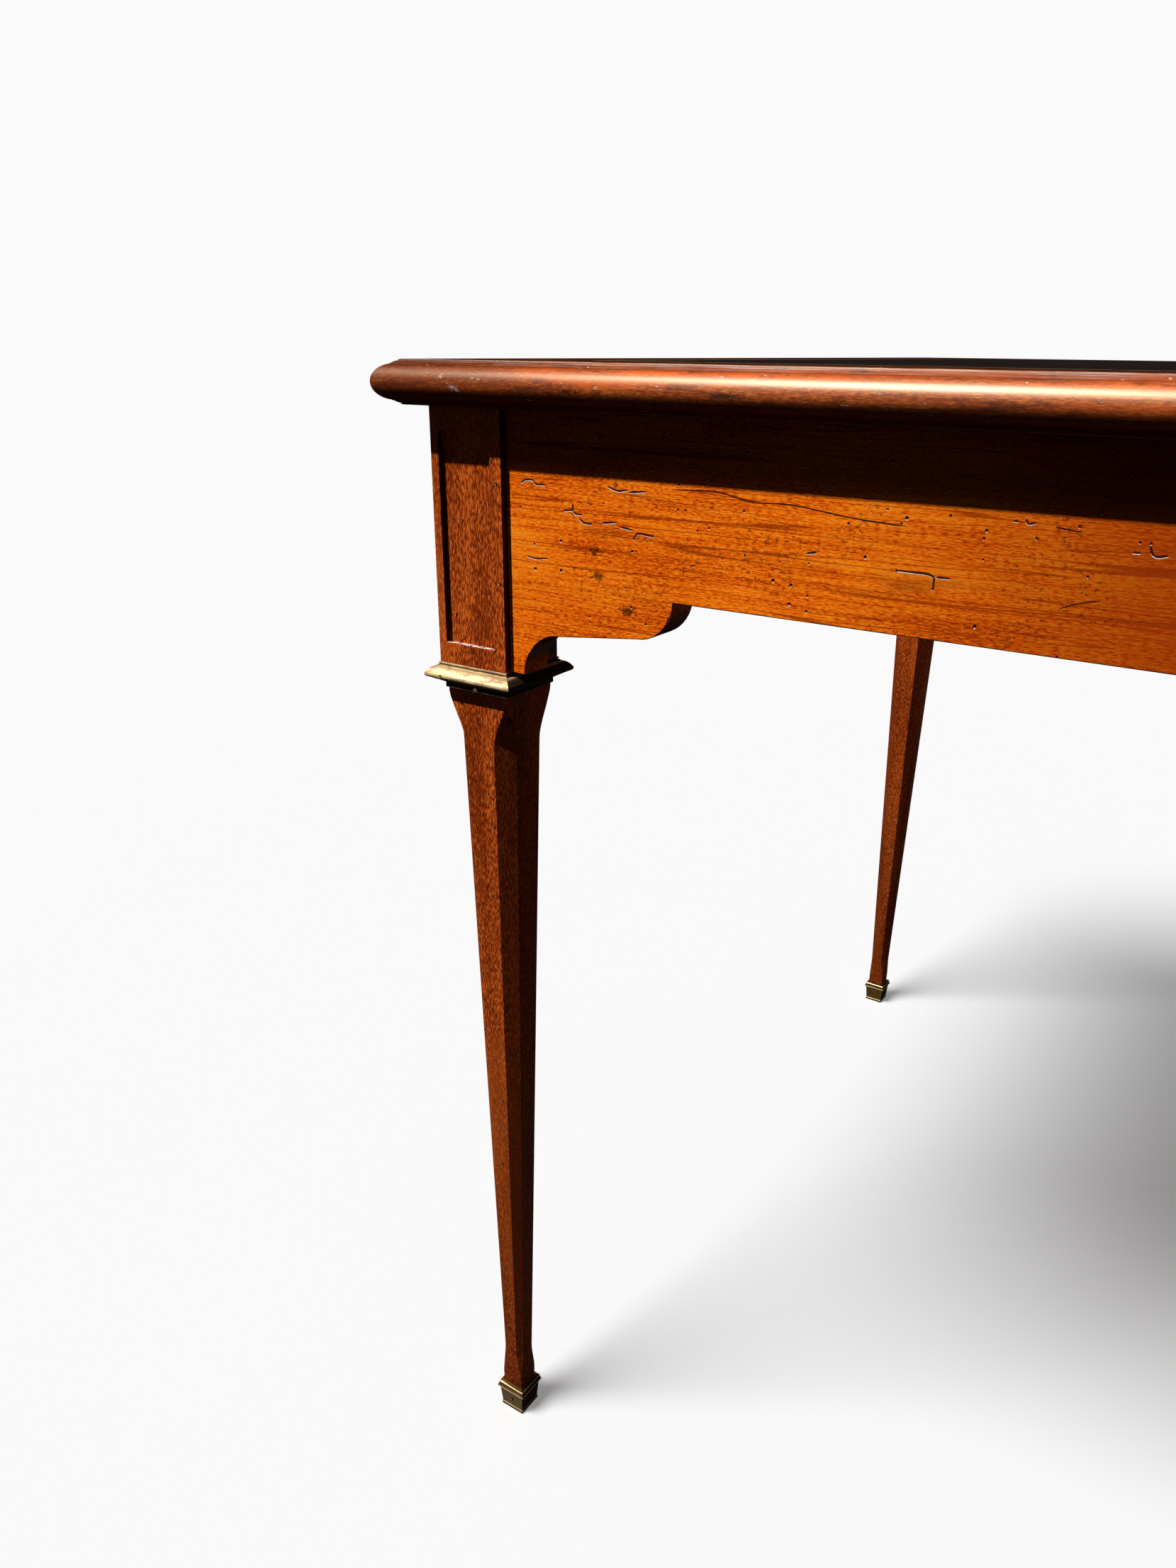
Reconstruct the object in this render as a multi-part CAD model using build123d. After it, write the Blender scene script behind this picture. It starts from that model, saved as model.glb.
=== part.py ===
from build123d import *
import os

# A tric trac table: a carcass of square posts, shaped aprons and tapered legs with brass collars and
# feet, a sunk inlaid playing board, two end drawers, and a moulded top that lifts off.
# The table stands on z = 0, is centred on x = y = 0, is long in x, and its front looks to -y.
# It looks the same after half a turn about z, so most pieces are made once and turned.

# Overall size
table_length = 1200.0
table_depth = 812.0
table_height = 745.0

# Lift-off top: a mitred frame with a moulded edge round a core with leather above and baize below
top_fillet_height = 2.5
top_fillet_inset = 11.0
top_round_height = 17.5
top_round_bulge = 7.0
top_edge_softening = 0.6
top_overhang = 21.0
border_width = 62.0
leather_thickness = 1.4
baize_thickness = 1.4
core_tongue_length = 8.0
core_tongue_thickness = 7.0
mitre_key_length = 44.0
mitre_key_width = 26.0
mitre_key_thickness = 4.0

# Locating pegs between the aprons and the top
peg_radius = 3.5
peg_stand = 8.0
peg_sunk = 14.0
peg_socket_clearance = 0.4
peg_socket_end_gap = 1.5

# Posts, with a sunk panel in each outer face
post_width = 48.0
post_height = 139.0
panel_outer_margin = 5.5
panel_inner_margin = 7.7
panel_top_margin = 13.0
panel_bottom_margin = 12.0
panel_sinking = 3.0

# Legs: a square taper with stopped chamfers on its corners
leg_top_width = 42.2
leg_foot_width = 16.2
chamfer_share = 0.24
top_stop_gap = 1.0
top_stop_length = 31.0
foot_stop_gap = 6.0
foot_stop_length = 28.0
stop_lead = 0.15
stop_along_shares = (0.0, 0.3, 0.7, 1.0)
stop_depth_shares = (0.0, 0.1, 1.0, 1.0)

# Brass collar under each post
collar_height = 15.2
collar_reach = 6.9
collar_flange_shares = (-0.26, 0.19)
collar_hollow_shares = (0.22, 0.305)
collar_nose_low_shares = (0.92, 0.455)
collar_nose_shares = (1.0, 0.54)
collar_nose_high_shares = (0.9, 0.64)
collar_round_shares = (0.6, 0.785)
collar_step_shares = (0.2, 0.86)
collar_step_high_share = 0.895
collar_quirk_shares = (0.03, 0.93)
collar_fillet_reach_share = 0.1

# Brass foot on each leg
sabot_height = 24.0
sabot_lip_width = 23.8
sabot_body_width = 21.0
sabot_base_width = 19.2
sabot_floor = 3.0
sabot_plinth_height = 2.4
sabot_plinth_step = 0.35
sabot_lip_height = 6.5
sabot_lip_low_share = 0.44
sabot_lip_quirk_share = 0.52
sabot_lip_high_share = 0.86

# Square brass brads through the collars and feet into the wood
pin_width = 1.8
pin_stand = 0.3
collar_pin_length = 15.0
collar_pin_offset = 19.0
flange_pin_length = 7.0
flange_pin_share = 0.1
sabot_pin_length = 6.0
sabot_pin_height_share = 0.4

# Aprons, tenoned into the posts, with a shaped bracket at each end
apron_set_back = 4.0
apron_thickness = 21.0
apron_depth = 88.0
bracket_foot = 9.9
bracket_cove_radius = 24.5
bracket_shelf_run = 48.0
bracket_ovolo_radius = 21.0
tenon_thickness = 9.0
tenon_length = 20.0
tenon_shoulder = 14.0

# Playing well
well_depth = 74.0
board_thickness = 8.0
board_groove_depth = 5.0
partition_thickness = 14.0
partition_housing = 4.0
bar_width = 30.0
bar_height = 50.0
rail_thickness = 24.0
points_per_half = 6
score_hole_sides = 8
point_width = 50.0
point_gap = 3.0
point_length = 252.0
inlay_thickness = 1.2
score_hole_radius = 2.2
score_hole_depth = 12.0

# End bays: a drawer on one side of the divider, an open trough on the other
divider_thickness = 10.0
trough_board_thickness = 6.0
trough_groove_depth = 4.0
deck_thickness = 8.0

# Drawers
drawer_sill = 11.0
drawer_head = 11.0
drawer_guide_inner = 14.0
drawer_guide_outer = 14.0
drawer_side_gap = 1.0
drawer_top_gap = 1.2
drawer_running_gap = 0.3
drawer_front_thickness = 18.0
drawer_side_thickness = 9.0
drawer_back_thickness = 9.0
drawer_bottom_thickness = 5.0
drawer_bottom_lift = 5.0
drawer_groove_depth = 4.0
drawer_stop_length = 12.0
drawer_stop_width = 16.0
dovetail_count = 3
dovetail_length = 12.0
dovetail_narrow_share = 0.42
dovetail_wide_share = 0.66
runner_width = 13.0
runner_thickness = 8.0

# Drawer knobs, turned: each belly share gives a ring's radius and its place along the knob's head
knob_radius = 9.0
knob_reach = 19.0
knob_neck_radius = 4.0
knob_base_radius = 7.0
knob_base_thickness = 2.0
knob_neck_length = 7.0
knob_belly_shares = ((0.8, 0.12), (1.0, 0.4), (0.9, 0.75), (0.5, 1.0))
knob_shank_radius = 2.5
knob_shank_clearance = 0.05

# How far a cutter runs past what it cuts
overrun = 2.0

# Levels and faces that several pieces share
top_thickness = top_round_height + 2 * top_fillet_height
carcass_top = table_height - top_thickness
post_bottom = carcass_top - post_height
collar_bottom = post_bottom - collar_height
apron_bottom = carcass_top - apron_depth
half_x = table_length / 2 - top_overhang
half_y = table_depth / 2 - top_overhang
leg_x = half_x - post_width / 2
leg_y = half_y - post_width / 2
apron_front_x = half_x - apron_set_back
apron_front_y = half_y - apron_set_back
inside_x = apron_front_x - apron_thickness
inside_y = apron_front_y - apron_thickness
post_inside_x = half_x - post_width
post_inside_y = half_y - post_width
board_top = carcass_top - well_depth
board_bottom = board_top - board_thickness
well_half_length = bar_width / 2 + points_per_half * point_width
well_half_depth = inside_y - rail_thickness
partition_outer = well_half_length + partition_thickness
trough_board_top = board_bottom + trough_board_thickness
drawer_low = apron_bottom + drawer_sill
drawer_high = carcass_top - drawer_head
opening_inner = partition_outer + drawer_guide_inner
opening_outer = post_inside_x - drawer_guide_outer
bay_end = divider_thickness / 2
stop_face = bay_end + drawer_stop_length


def block(x_span, y_span, z_span):
    """A rectangular solid between two values on each axis, given in either order."""
    centre = [(a + b) / 2 for a, b in (x_span, y_span, z_span)]
    sides = [abs(b - a) for a, b in (x_span, y_span, z_span)]
    return Pos(*centre) * Box(*sides)


def face_of(*edges):
    """A flat shape from edges that follow one another."""
    return make_face(Wire(list(edges)))


def closed_shape(points):
    """A flat shape with straight sides."""
    return make_face(Polyline(*points, close=True))


def square_turning(half_profile, reach):
    """A square-planned moulding: the same profile on four sides, mitred at the corners."""
    profile = Plane.XZ * (half_profile + mirror(half_profile, about=Plane.YZ))
    along_y = extrude(profile, amount=reach, both=True)
    return along_y & (Rot(0, 0, 90) * along_y)


def shaft_width(z):
    """Width of the tapered leg's square section at a height."""
    share = (z - sabot_height) / (collar_bottom - sabot_height)
    return leg_foot_width + share * (leg_top_width - leg_foot_width)


def square_section(z):
    """The leg's square section at a height."""
    return Pos(0, 0, z) * Rectangle(shaft_width(z), shaft_width(z))


def tapered_shaft():
    """The square taper from the collar down into the brass foot."""
    return loft([square_section(sabot_floor), square_section(collar_bottom)], ruled=True)


def chamfer_cutter():
    """One corner's chamfer in the leg's diagonal plane, run out at both ends in an ogee stop."""
    def corner(z):
        return shaft_width(z) / 2 ** 0.5

    def sunk(z, depth_share):
        full_depth = chamfer_share * corner(z)
        return Vector(corner(z) + stop_lead - depth_share * (full_depth + stop_lead), z)

    def stop(z_tip, z_full):
        places = zip(stop_along_shares, stop_depth_shares)
        return [sunk(z_tip + along * (z_full - z_tip), depth) for along, depth in places]

    high_tip = collar_bottom - top_stop_gap
    low_tip = sabot_height + foot_stop_gap
    high = stop(high_tip, high_tip - top_stop_length)
    low = stop(low_tip, low_tip + foot_stop_length)
    outside = corner(high_tip) + overrun
    profile = face_of(
        Bezier(*high),
        Line(high[-1], low[-1]),
        Bezier(*reversed(low)),
        Line(low[0], Vector(outside, low_tip)),
        Line(Vector(outside, low_tip), Vector(outside, high_tip)),
        Line(Vector(outside, high_tip), high[0]),
    )
    diagonal = Plane(origin=(0, 0, 0), x_dir=(1, 1, 0), z_dir=(1, -1, 0))
    return extrude(diagonal * profile, amount=leg_top_width, both=True)


def collar_profile():
    """Half of the collar's section: a flange on the leg, a hollow, a big nose, a quirk and a fillet."""
    face = post_width / 2

    def at(reach_share, height_share):
        return Vector(face + collar_reach * reach_share, collar_bottom + collar_height * height_share)

    flange_reach, flange_high = collar_flange_shares
    step_reach, step_low = collar_step_shares
    quirk_reach, quirk_high = collar_quirk_shares
    flange_top = at(flange_reach, flange_high)
    nose_low = at(*collar_nose_low_shares)
    nose_high = at(*collar_nose_high_shares)
    step = at(step_reach, step_low)
    outline = [
        step,
        at(step_reach, collar_step_high_share),
        at(quirk_reach, collar_step_high_share),
        at(quirk_reach, quirk_high),
        at(collar_fillet_reach_share, quirk_high),
        at(collar_fillet_reach_share, 1),
        Vector(0, post_bottom),
        Vector(0, collar_bottom),
        at(flange_reach, 0),
        flange_top,
    ]
    return face_of(
        ThreePointArc(flange_top, at(*collar_hollow_shares), nose_low),
        ThreePointArc(nose_low, at(*collar_nose_shares), nose_high),
        ThreePointArc(nose_high, at(*collar_round_shares), step),
        *Polyline(*outline).edges(),
    )


def sabot_profile():
    """Half of the brass foot's section: plinth, body that widens upwards, and a double lip."""
    lip_low = sabot_height - sabot_lip_height
    body_half = sabot_body_width / 2
    lip_half = sabot_lip_width / 2
    base_half = sabot_base_width / 2
    top_half = shaft_width(sabot_height) / 2 + (lip_half - body_half) / 2
    bead_top = lip_low + sabot_lip_low_share * sabot_lip_height
    quirk_top = lip_low + sabot_lip_quirk_share * sabot_lip_height
    second_top = lip_low + sabot_lip_high_share * sabot_lip_height
    second_half = (body_half + lip_half) / 2
    plinth = sabot_plinth_height
    points = {
        "axis_low": Vector(0, 0),
        "base": Vector(base_half, 0),
        "plinth": Vector(base_half, plinth),
        "ledge": Vector(base_half - sabot_plinth_step, plinth),
        "neck": Vector(body_half, lip_low),
        "bead": Vector(lip_half, (lip_low + bead_top) / 2),
        "bead_end": Vector(body_half, bead_top),
        "quirk": Vector(body_half, quirk_top),
        "second": Vector(second_half, (quirk_top + second_top) / 2),
        "second_end": Vector(body_half, second_top),
        "rim": Vector(top_half, sabot_height),
        "axis_high": Vector(0, sabot_height),
    }
    p = points
    return face_of(
        Line(p["axis_low"], p["base"]),
        Line(p["base"], p["plinth"]),
        Line(p["plinth"], p["ledge"]),
        Line(p["ledge"], p["neck"]),
        ThreePointArc(p["neck"], p["bead"], p["bead_end"]),
        Line(p["bead_end"], p["quirk"]),
        ThreePointArc(p["quirk"], p["second"], p["second_end"]),
        Line(p["second_end"], p["rim"]),
        Line(p["rim"], p["axis_high"]),
        Line(p["axis_high"], p["axis_low"]),
    )


def pin(length, face_distance, along, z):
    """A square brad whose end stands a little out of a face that looks to -y, near a leg's axis."""
    half = pin_width / 2
    out = -face_distance - pin_stand
    return block((along - half, along + half), (out, out + length), (z - half, z + half))


def outer_faces(sign_x, sign_y):
    """Turns that bring a piece made on a -y face to the two outer faces of the leg at a corner."""
    return [Rot(0, 0, 0 if sign_y < 0 else 180), Rot(0, 0, 90 if sign_x > 0 else -90)]


def corner_pins(sign_x, sign_y):
    """The pins of one corner's collar and foot: in each outer face two above and one below."""
    turns = outer_faces(sign_x, sign_y)
    towards_corner = (sign_x * -sign_y, sign_y * sign_x)
    collar_face = post_width / 2 + collar_reach
    collar_z = collar_bottom + collar_height * collar_nose_shares[1]
    flange_face = post_width / 2 + collar_reach * collar_flange_shares[0]
    flange_z = collar_bottom + collar_height * flange_pin_share
    sabot_z = sabot_height * sabot_pin_height_share
    pins = []
    for turn, side in zip(turns, towards_corner):
        beside = collar_pin_offset * side
        pins.append(turn * pin(collar_pin_length, collar_face, beside, collar_z))
        pins.append(turn * pin(flange_pin_length, flange_face, 0, flange_z))
        pins.append(turn * pin(sabot_pin_length, sabot_body_width / 2, 0, sabot_z))
    return pins


def neck_block(extra):
    """The square neck that the collar is let on to, run on at both ends by an extra length."""
    across = (-leg_top_width / 2, leg_top_width / 2)
    return block(across, across, (collar_bottom - extra, post_bottom + extra))


def leg_blank(sign_x, sign_y):
    """One corner's post and leg in a single piece of wood, about its own axis."""
    post = Pos(0, 0, post_bottom + post_height / 2) * Box(post_width, post_width, post_height)
    neck = neck_block(0)
    shaft = tapered_shaft()
    cutter = chamfer_cutter()
    for quarter in range(4):
        shaft -= Rot(0, 0, 90 * quarter) * cutter
    wood = post + neck + shaft
    face = post_width / 2
    panel_z = (post_bottom + panel_bottom_margin, carcass_top - panel_top_margin)
    panel_along = (face - panel_outer_margin, -(face - panel_inner_margin))
    panel_across = (face - panel_sinking, face + overrun)
    tenon_z = (post_bottom + tenon_shoulder, carcass_top - tenon_shoulder)
    tenon_centre = face - apron_set_back - apron_thickness / 2
    tenon_across = (tenon_centre - tenon_thickness / 2, tenon_centre + tenon_thickness / 2)
    tenon_along = (-face - overrun, -face + tenon_length)

    def signed(span, sign):
        return tuple(sign * value for value in span)

    panel = (panel_along, panel_across, panel_z)
    mortice = (tenon_along, tenon_across, tenon_z)
    for along, across, z_span in (panel, mortice):
        wood -= block(signed(along, sign_x), signed(across, sign_y), z_span)
        wood -= block(signed(across, sign_x), signed(along, sign_y), z_span)
    return wood


def apron_board(half_run, half_shoulder):
    """A shaped apron with its tenons, along x, its outer face looking to -y at y = 0."""
    foot = half_shoulder - bracket_foot
    shelf_start = foot - bracket_cove_radius
    shelf_end = shelf_start - bracket_shelf_run
    ovolo_end = shelf_end - bracket_ovolo_radius
    shelf_low = post_bottom + bracket_cove_radius
    shelf_high = apron_bottom - bracket_ovolo_radius
    cove_rise = bracket_cove_radius * 0.5 ** 0.5
    ovolo_rise = bracket_ovolo_radius * 0.5 ** 0.5
    cove_middle = Vector(shelf_start + cove_rise, post_bottom + cove_rise)
    ovolo_middle = Vector(shelf_end - ovolo_rise, apron_bottom - ovolo_rise)
    half = face_of(
        Line((0, carcass_top), (half_shoulder, carcass_top)),
        Line((half_shoulder, carcass_top), (half_shoulder, post_bottom)),
        Line((half_shoulder, post_bottom), (foot, post_bottom)),
        ThreePointArc((foot, post_bottom), cove_middle, (shelf_start, shelf_low)),
        Line((shelf_start, shelf_low), (shelf_end, shelf_high)),
        ThreePointArc((shelf_end, shelf_high), ovolo_middle, (ovolo_end, apron_bottom)),
        Line((ovolo_end, apron_bottom), (0, apron_bottom)),
        Line((0, apron_bottom), (0, carcass_top)),
    )
    outline = Plane.XZ * (half + mirror(half, about=Plane.YZ))
    board = Pos(0, apron_thickness, 0) * extrude(outline, amount=apron_thickness)
    middle = apron_thickness / 2
    tenon_y = (middle - tenon_thickness / 2, middle + tenon_thickness / 2)
    tenon_z = (post_bottom + tenon_shoulder, carcass_top - tenon_shoulder)
    for sign in (-1, 1):
        board += block((sign * half_shoulder, sign * half_run), tenon_y, tenon_z)
    return board


def top_rail(half_length, half_width):
    """One mitred rail of the top, along x, its moulded edge at -y, with sockets and key slots uncut."""
    middle = table_height - top_thickness / 2
    tip = -half_width
    inner = tip + border_width
    riser = tip + top_fillet_inset
    shoulder = tip + top_round_bulge
    low = table_height - top_thickness
    round_low = low + top_fillet_height
    round_high = table_height - top_fillet_height
    groove_end = inner - core_tongue_length
    groove_low = middle - core_tongue_thickness / 2
    groove_high = middle + core_tongue_thickness / 2
    section = face_of(
        Line((riser, low), (riser, round_low)),
        Line((riser, round_low), (shoulder, round_low)),
        ThreePointArc((shoulder, round_low), (tip, middle), (shoulder, round_high)),
        Line((shoulder, round_high), (riser, round_high)),
        Line((riser, round_high), (riser, table_height)),
        Line((riser, table_height), (inner, table_height)),
        Line((inner, table_height), (inner, groove_high)),
        Line((inner, groove_high), (groove_end, groove_high)),
        Line((groove_end, groove_high), (groove_end, groove_low)),
        Line((groove_end, groove_low), (inner, groove_low)),
        Line((inner, groove_low), (inner, low)),
        Line((inner, low), (riser, low)),
    )
    riser_corners = section.vertices().group_by(Axis.X)[1].sort_by(Axis.Y)
    section = fillet([riser_corners[0], riser_corners[-1]], top_edge_softening)
    bar = extrude(Plane.YZ * section, amount=half_length, both=True)
    inner_end = half_length - half_width
    plan = closed_shape([(-half_length, tip), (half_length, tip), (inner_end, 0), (-inner_end, 0)])
    mitred = extrude(plan, amount=top_thickness + 2 * overrun)
    return bar & (Pos(0, 0, low - overrun) * mitred)


def mitre_keys():
    """Loose tongues that cross the four mitres of the top, hidden in its thickness."""
    key = Box(mitre_key_length, mitre_key_width, mitre_key_thickness)
    reach = (border_width - core_tongue_length + top_fillet_inset) / 2
    z = table_height - top_thickness / 2
    keys = []
    for sign_x, sign_y in corners_of_table:
        place = Pos(sign_x * (table_length / 2 - reach), sign_y * (table_depth / 2 - reach), z)
        keys.append(place * Rot(0, 0, -45 * sign_x * sign_y) * key)
    return keys


def peg(z_low):
    """A locating peg with a bevelled end, on the z axis."""
    length = peg_sunk + peg_stand
    standing = (Align.CENTER, Align.CENTER, Align.MIN)
    shank = Pos(0, 0, z_low) * Cylinder(peg_radius, length, align=standing)
    return chamfer(shank.edges().group_by(Axis.Z)[-1], peg_radius / 3)


def point_shapes(colour):
    """The long triangles of one colour, as flat shapes on the board, both halves and both sides."""
    half_base = (point_width - point_gap) / 2
    shapes = []
    for side in (-1, 1):
        for column in range(2 * points_per_half):
            if (column + (side > 0)) % 2 != colour:
                continue
            half = 1 if column >= points_per_half else -1
            place = (column % points_per_half + 0.5) * point_width
            x = half * (bar_width / 2) + (place if half > 0 else place - points_per_half * point_width)
            base = side * well_half_depth
            tip = base - side * point_length
            shapes.append(closed_shape([(x - half_base, base), (x + half_base, base), (x, tip)]))
    return shapes


def inlay(colour):
    """The inlaid points of one colour as thin solids, flush with the board."""
    low = board_top - inlay_thickness
    return [Pos(0, 0, low) * extrude(shape, amount=inlay_thickness) for shape in point_shapes(colour)]


def with_drawer_and_grooves(apron):
    """The front apron, with the drawer's opening and the grooves of the board, partitions and trough."""
    inner_face = -inside_y
    into = inner_face - partition_housing
    through = (-half_y, inner_face + overrun)
    apron -= block((opening_inner, opening_outer), through, (drawer_low, drawer_high))
    full_height = (apron_bottom - overrun, carcass_top + overrun)
    for side in (-1, 1):
        housing = (side * well_half_length, side * partition_outer)
        apron -= block(housing, (into, inner_face + overrun), full_height)
    board_span = (-well_half_length - board_groove_depth, well_half_length + board_groove_depth)
    board_into = (inner_face - board_groove_depth, inner_face + overrun)
    apron -= block(board_span, board_into, (board_bottom, board_top))
    trough_into = (inner_face - trough_groove_depth, inner_face + overrun)
    apron -= block((-post_inside_x, -partition_outer), trough_into, (board_bottom, trough_board_top))
    for sign in (-1, 1):
        apron -= Pos(sign * peg_x, -peg_y, 0) * peg(carcass_top - peg_sunk)
    return apron


def with_end_grooves(apron):
    """The right apron, with the divider's housing and the trough board's groove."""
    into_x = (inside_x - overrun, inside_x + trough_groove_depth)
    apron -= block(into_x, (-bay_end, bay_end), (apron_bottom - overrun, carcass_top + overrun))
    return apron - block(into_x, (bay_end - overrun, post_inside_y), (board_bottom, trough_board_top))


def partition():
    """The right wall of the well, with grooves for the board, the trough board and the divider."""
    reach = inside_y + partition_housing
    wall = block((well_half_length, partition_outer), (-reach, reach), (apron_bottom, carcass_top))
    board_into = (well_half_length - overrun, well_half_length + board_groove_depth)
    wall -= block(board_into, (-reach - overrun, reach + overrun), (board_bottom, board_top))
    outer_into = (partition_outer - trough_groove_depth, partition_outer + overrun)
    wall -= block(outer_into, (-bay_end, bay_end), (apron_bottom - overrun, carcass_top + overrun))
    return wall - block(outer_into, (bay_end - overrun, reach + overrun), (board_bottom, trough_board_top))


def divider():
    """The cross piece between the right bay's drawer and its trough."""
    span = (partition_outer - trough_groove_depth, inside_x + trough_groove_depth)
    wall = block(span, (-bay_end, bay_end), (apron_bottom, carcass_top))
    groove = (bay_end - trough_groove_depth, bay_end + overrun)
    return wall - block((span[0] - overrun, span[1] + overrun), groove, (board_bottom, trough_board_top))


def board():
    """The well's floor, let into grooves all round, with pockets for the inlaid points."""
    across = well_half_length + board_groove_depth
    along = inside_y + board_groove_depth
    return block((-across, across), (-along, along), (board_bottom, board_top))


def well_rail():
    """The front rail of the well, with a row of holes for scoring pegs."""
    x_span = (-well_half_length, well_half_length)
    rail = block(x_span, (-inside_y, -well_half_depth), (board_top, carcass_top))
    outline = RegularPolygon(score_hole_radius, score_hole_sides)
    hole = extrude(outline, amount=score_hole_depth + overrun)
    y = -inside_y + rail_thickness / 2
    for half in (-1, 1):
        for column in range(points_per_half):
            x = half * (bar_width / 2 + (column + 0.5) * point_width)
            rail -= Pos(x, y, carcass_top - score_hole_depth) * hole
    return rail


def post_notch(sign_y):
    """Room for the right bay's posts in a board that reaches into the corner."""
    return block((post_inside_x, half_x), (sign_y * post_inside_y, sign_y * half_y), (0, table_height))


def trough_board():
    """The floor of the right bay's open trough, let into grooves all round."""
    x_span = (partition_outer - trough_groove_depth, inside_x + trough_groove_depth)
    y_span = (bay_end - trough_groove_depth, inside_y + trough_groove_depth)
    return block(x_span, y_span, (board_bottom, trough_board_top)) - post_notch(1)


def deck():
    """The board over the right bay's drawer, which also keeps the drawer from tipping."""
    z_span = (drawer_high, drawer_high + deck_thickness)
    return block((partition_outer, inside_x), (-inside_y, -bay_end), z_span) - post_notch(-1)


def runners():
    """The two runners of the front drawer, each with the guide that keeps the drawer straight."""
    y_span = (-inside_y, -bay_end)
    low = drawer_low - runner_thickness
    inner = block((partition_outer, opening_inner), y_span, (low, drawer_high))
    inner += block((partition_outer, opening_inner + runner_width), y_span, (low, drawer_low))
    outer = block((opening_outer, inside_x), y_span, (low, drawer_high))
    outer += block((opening_outer - runner_width, inside_x), y_span, (low, drawer_low))
    return inner, outer - post_notch(-1)


def drawer_stops():
    """Two blocks on the runners that stop the front drawer flush with the apron."""
    z_span = (drawer_low, drawer_low + drawer_stop_width)
    y_span = (-stop_face, -bay_end)
    inner = block((opening_inner, opening_inner + runner_width), y_span, z_span)
    return [inner, block((opening_outer - runner_width, opening_outer), y_span, z_span)]


def drawer():
    """The front drawer's wooden pieces: dovetailed sides, front, back and a grooved bottom."""
    left = opening_inner + drawer_side_gap
    right = opening_outer - drawer_side_gap
    low = drawer_low + drawer_running_gap
    high = drawer_high - drawer_top_gap
    face = -apron_front_y
    shoulder = face + drawer_front_thickness
    end = -stop_face
    bottom_low = low + drawer_bottom_lift
    bottom_high = bottom_low + drawer_bottom_thickness
    front = block((left, right), (face, shoulder), (low, high))
    pitch = (high - low) / dovetail_count
    tail = closed_shape([
        (shoulder, -pitch * dovetail_narrow_share / 2),
        (shoulder, pitch * dovetail_narrow_share / 2),
        (shoulder - dovetail_length, pitch * dovetail_wide_share / 2),
        (shoulder - dovetail_length, -pitch * dovetail_wide_share / 2),
    ])
    inner = (left + drawer_side_thickness, right - drawer_side_thickness)
    sides = []
    for x_low, groove_x in ((left, inner[0]), (inner[1], inner[1])):
        side = block((x_low, x_low + drawer_side_thickness), (shoulder, end), (low, high))
        for number in range(dovetail_count):
            z = low + (number + 0.5) * pitch
            side += Pos(x_low, 0, z) * extrude(Plane.YZ * tail, amount=drawer_side_thickness)
        groove = (groove_x - drawer_groove_depth, groove_x + drawer_groove_depth)
        side -= block(groove, (shoulder - drawer_groove_depth, end + overrun), (bottom_low, bottom_high))
        sides.append(side)
    for side in sides:
        front -= side
    wide = (inner[0] - drawer_groove_depth, inner[1] + drawer_groove_depth)
    bottom = block(wide, (shoulder - drawer_groove_depth, end), (bottom_low, bottom_high))
    front -= bottom
    back = block(inner, (end - drawer_back_thickness, end), (bottom_high, high))
    knob_place = Pos((left + right) / 2, face, (low + high) / 2) * Rot(90, 0, 0)
    hole = Cylinder(knob_shank_radius + knob_shank_clearance, 2 * drawer_front_thickness)
    return {
        "face": front - knob_place * Pos(0, 0, -drawer_front_thickness) * hole,
        "side_inner": sides[0],
        "side_outer": sides[1],
        "back": back,
        "bottom": bottom,
        "knob": knob_place * knob(),
    }


def knob():
    """A turned knob on its shank, its axis on z and its seat at z = 0."""
    neck_top = knob_base_thickness + knob_neck_length
    head = knob_reach - neck_top
    belly = [(knob_radius * radius, neck_top + head * along) for radius, along in knob_belly_shares]
    half = closed_shape([
        (0, -drawer_front_thickness),
        (knob_shank_radius, -drawer_front_thickness),
        (knob_shank_radius, 0),
        (knob_base_radius, 0),
        (knob_base_radius, knob_base_thickness),
        (knob_neck_radius, knob_base_thickness),
        (knob_neck_radius, neck_top),
        *belly,
        (0, knob_reach),
    ])
    return revolve(Plane.XZ * half, axis=Axis.Z)


corners_of_table = [(-1, -1), (1, -1), (-1, 1), (1, 1)]
corner_names = ["front_left", "front_right", "back_left", "back_right"]
half_turn = Rot(0, 0, 180)
peg_x = (well_half_length + partition_outer) / 2
peg_y = apron_front_y - apron_thickness / 2
pieces = {}

# Legs with their brass collars, feet and pins
collar = square_turning(collar_profile(), post_width) - neck_block(overrun)
sabot = square_turning(sabot_profile(), post_width) - tapered_shaft()
pieces["mount_pins"] = []
for (sign_x, sign_y), name in zip(corners_of_table, corner_names):
    place = Pos(sign_x * leg_x, sign_y * leg_y, 0)
    corner = {"leg_": leg_blank(sign_x, sign_y), "collar_": collar, "sabot_": sabot}
    pins = corner_pins(sign_x, sign_y)
    for kind, piece in corner.items():
        for one in pins:
            piece -= one
        pieces[kind + name] = place * piece
    pieces["mount_pins"] += [place * one for one in pins]

# Aprons
for name, angle, half_run, half_shoulder, reach in (
    ("front", 0, half_x - post_width + tenon_length, half_x - post_width, apron_front_y),
    ("right", 90, half_y - post_width + tenon_length, half_y - post_width, apron_front_x),
):
    straight = Rot(0, 0, angle) * (Pos(0, -reach, 0) * apron_board(half_run, half_shoulder))
    grooved = with_drawer_and_grooves if name == "front" else with_end_grooves
    pieces["apron_" + name] = grooved(straight)
pieces["apron_back"] = half_turn * pieces["apron_front"]
pieces["apron_left"] = half_turn * pieces["apron_right"]
peg_places = [(sign_x * peg_x, sign_y * peg_y) for sign_x, sign_y in corners_of_table]
pieces["locating_pegs"] = [Pos(x, y, 0) * peg(carcass_top - peg_sunk) for x, y in peg_places]

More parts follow.
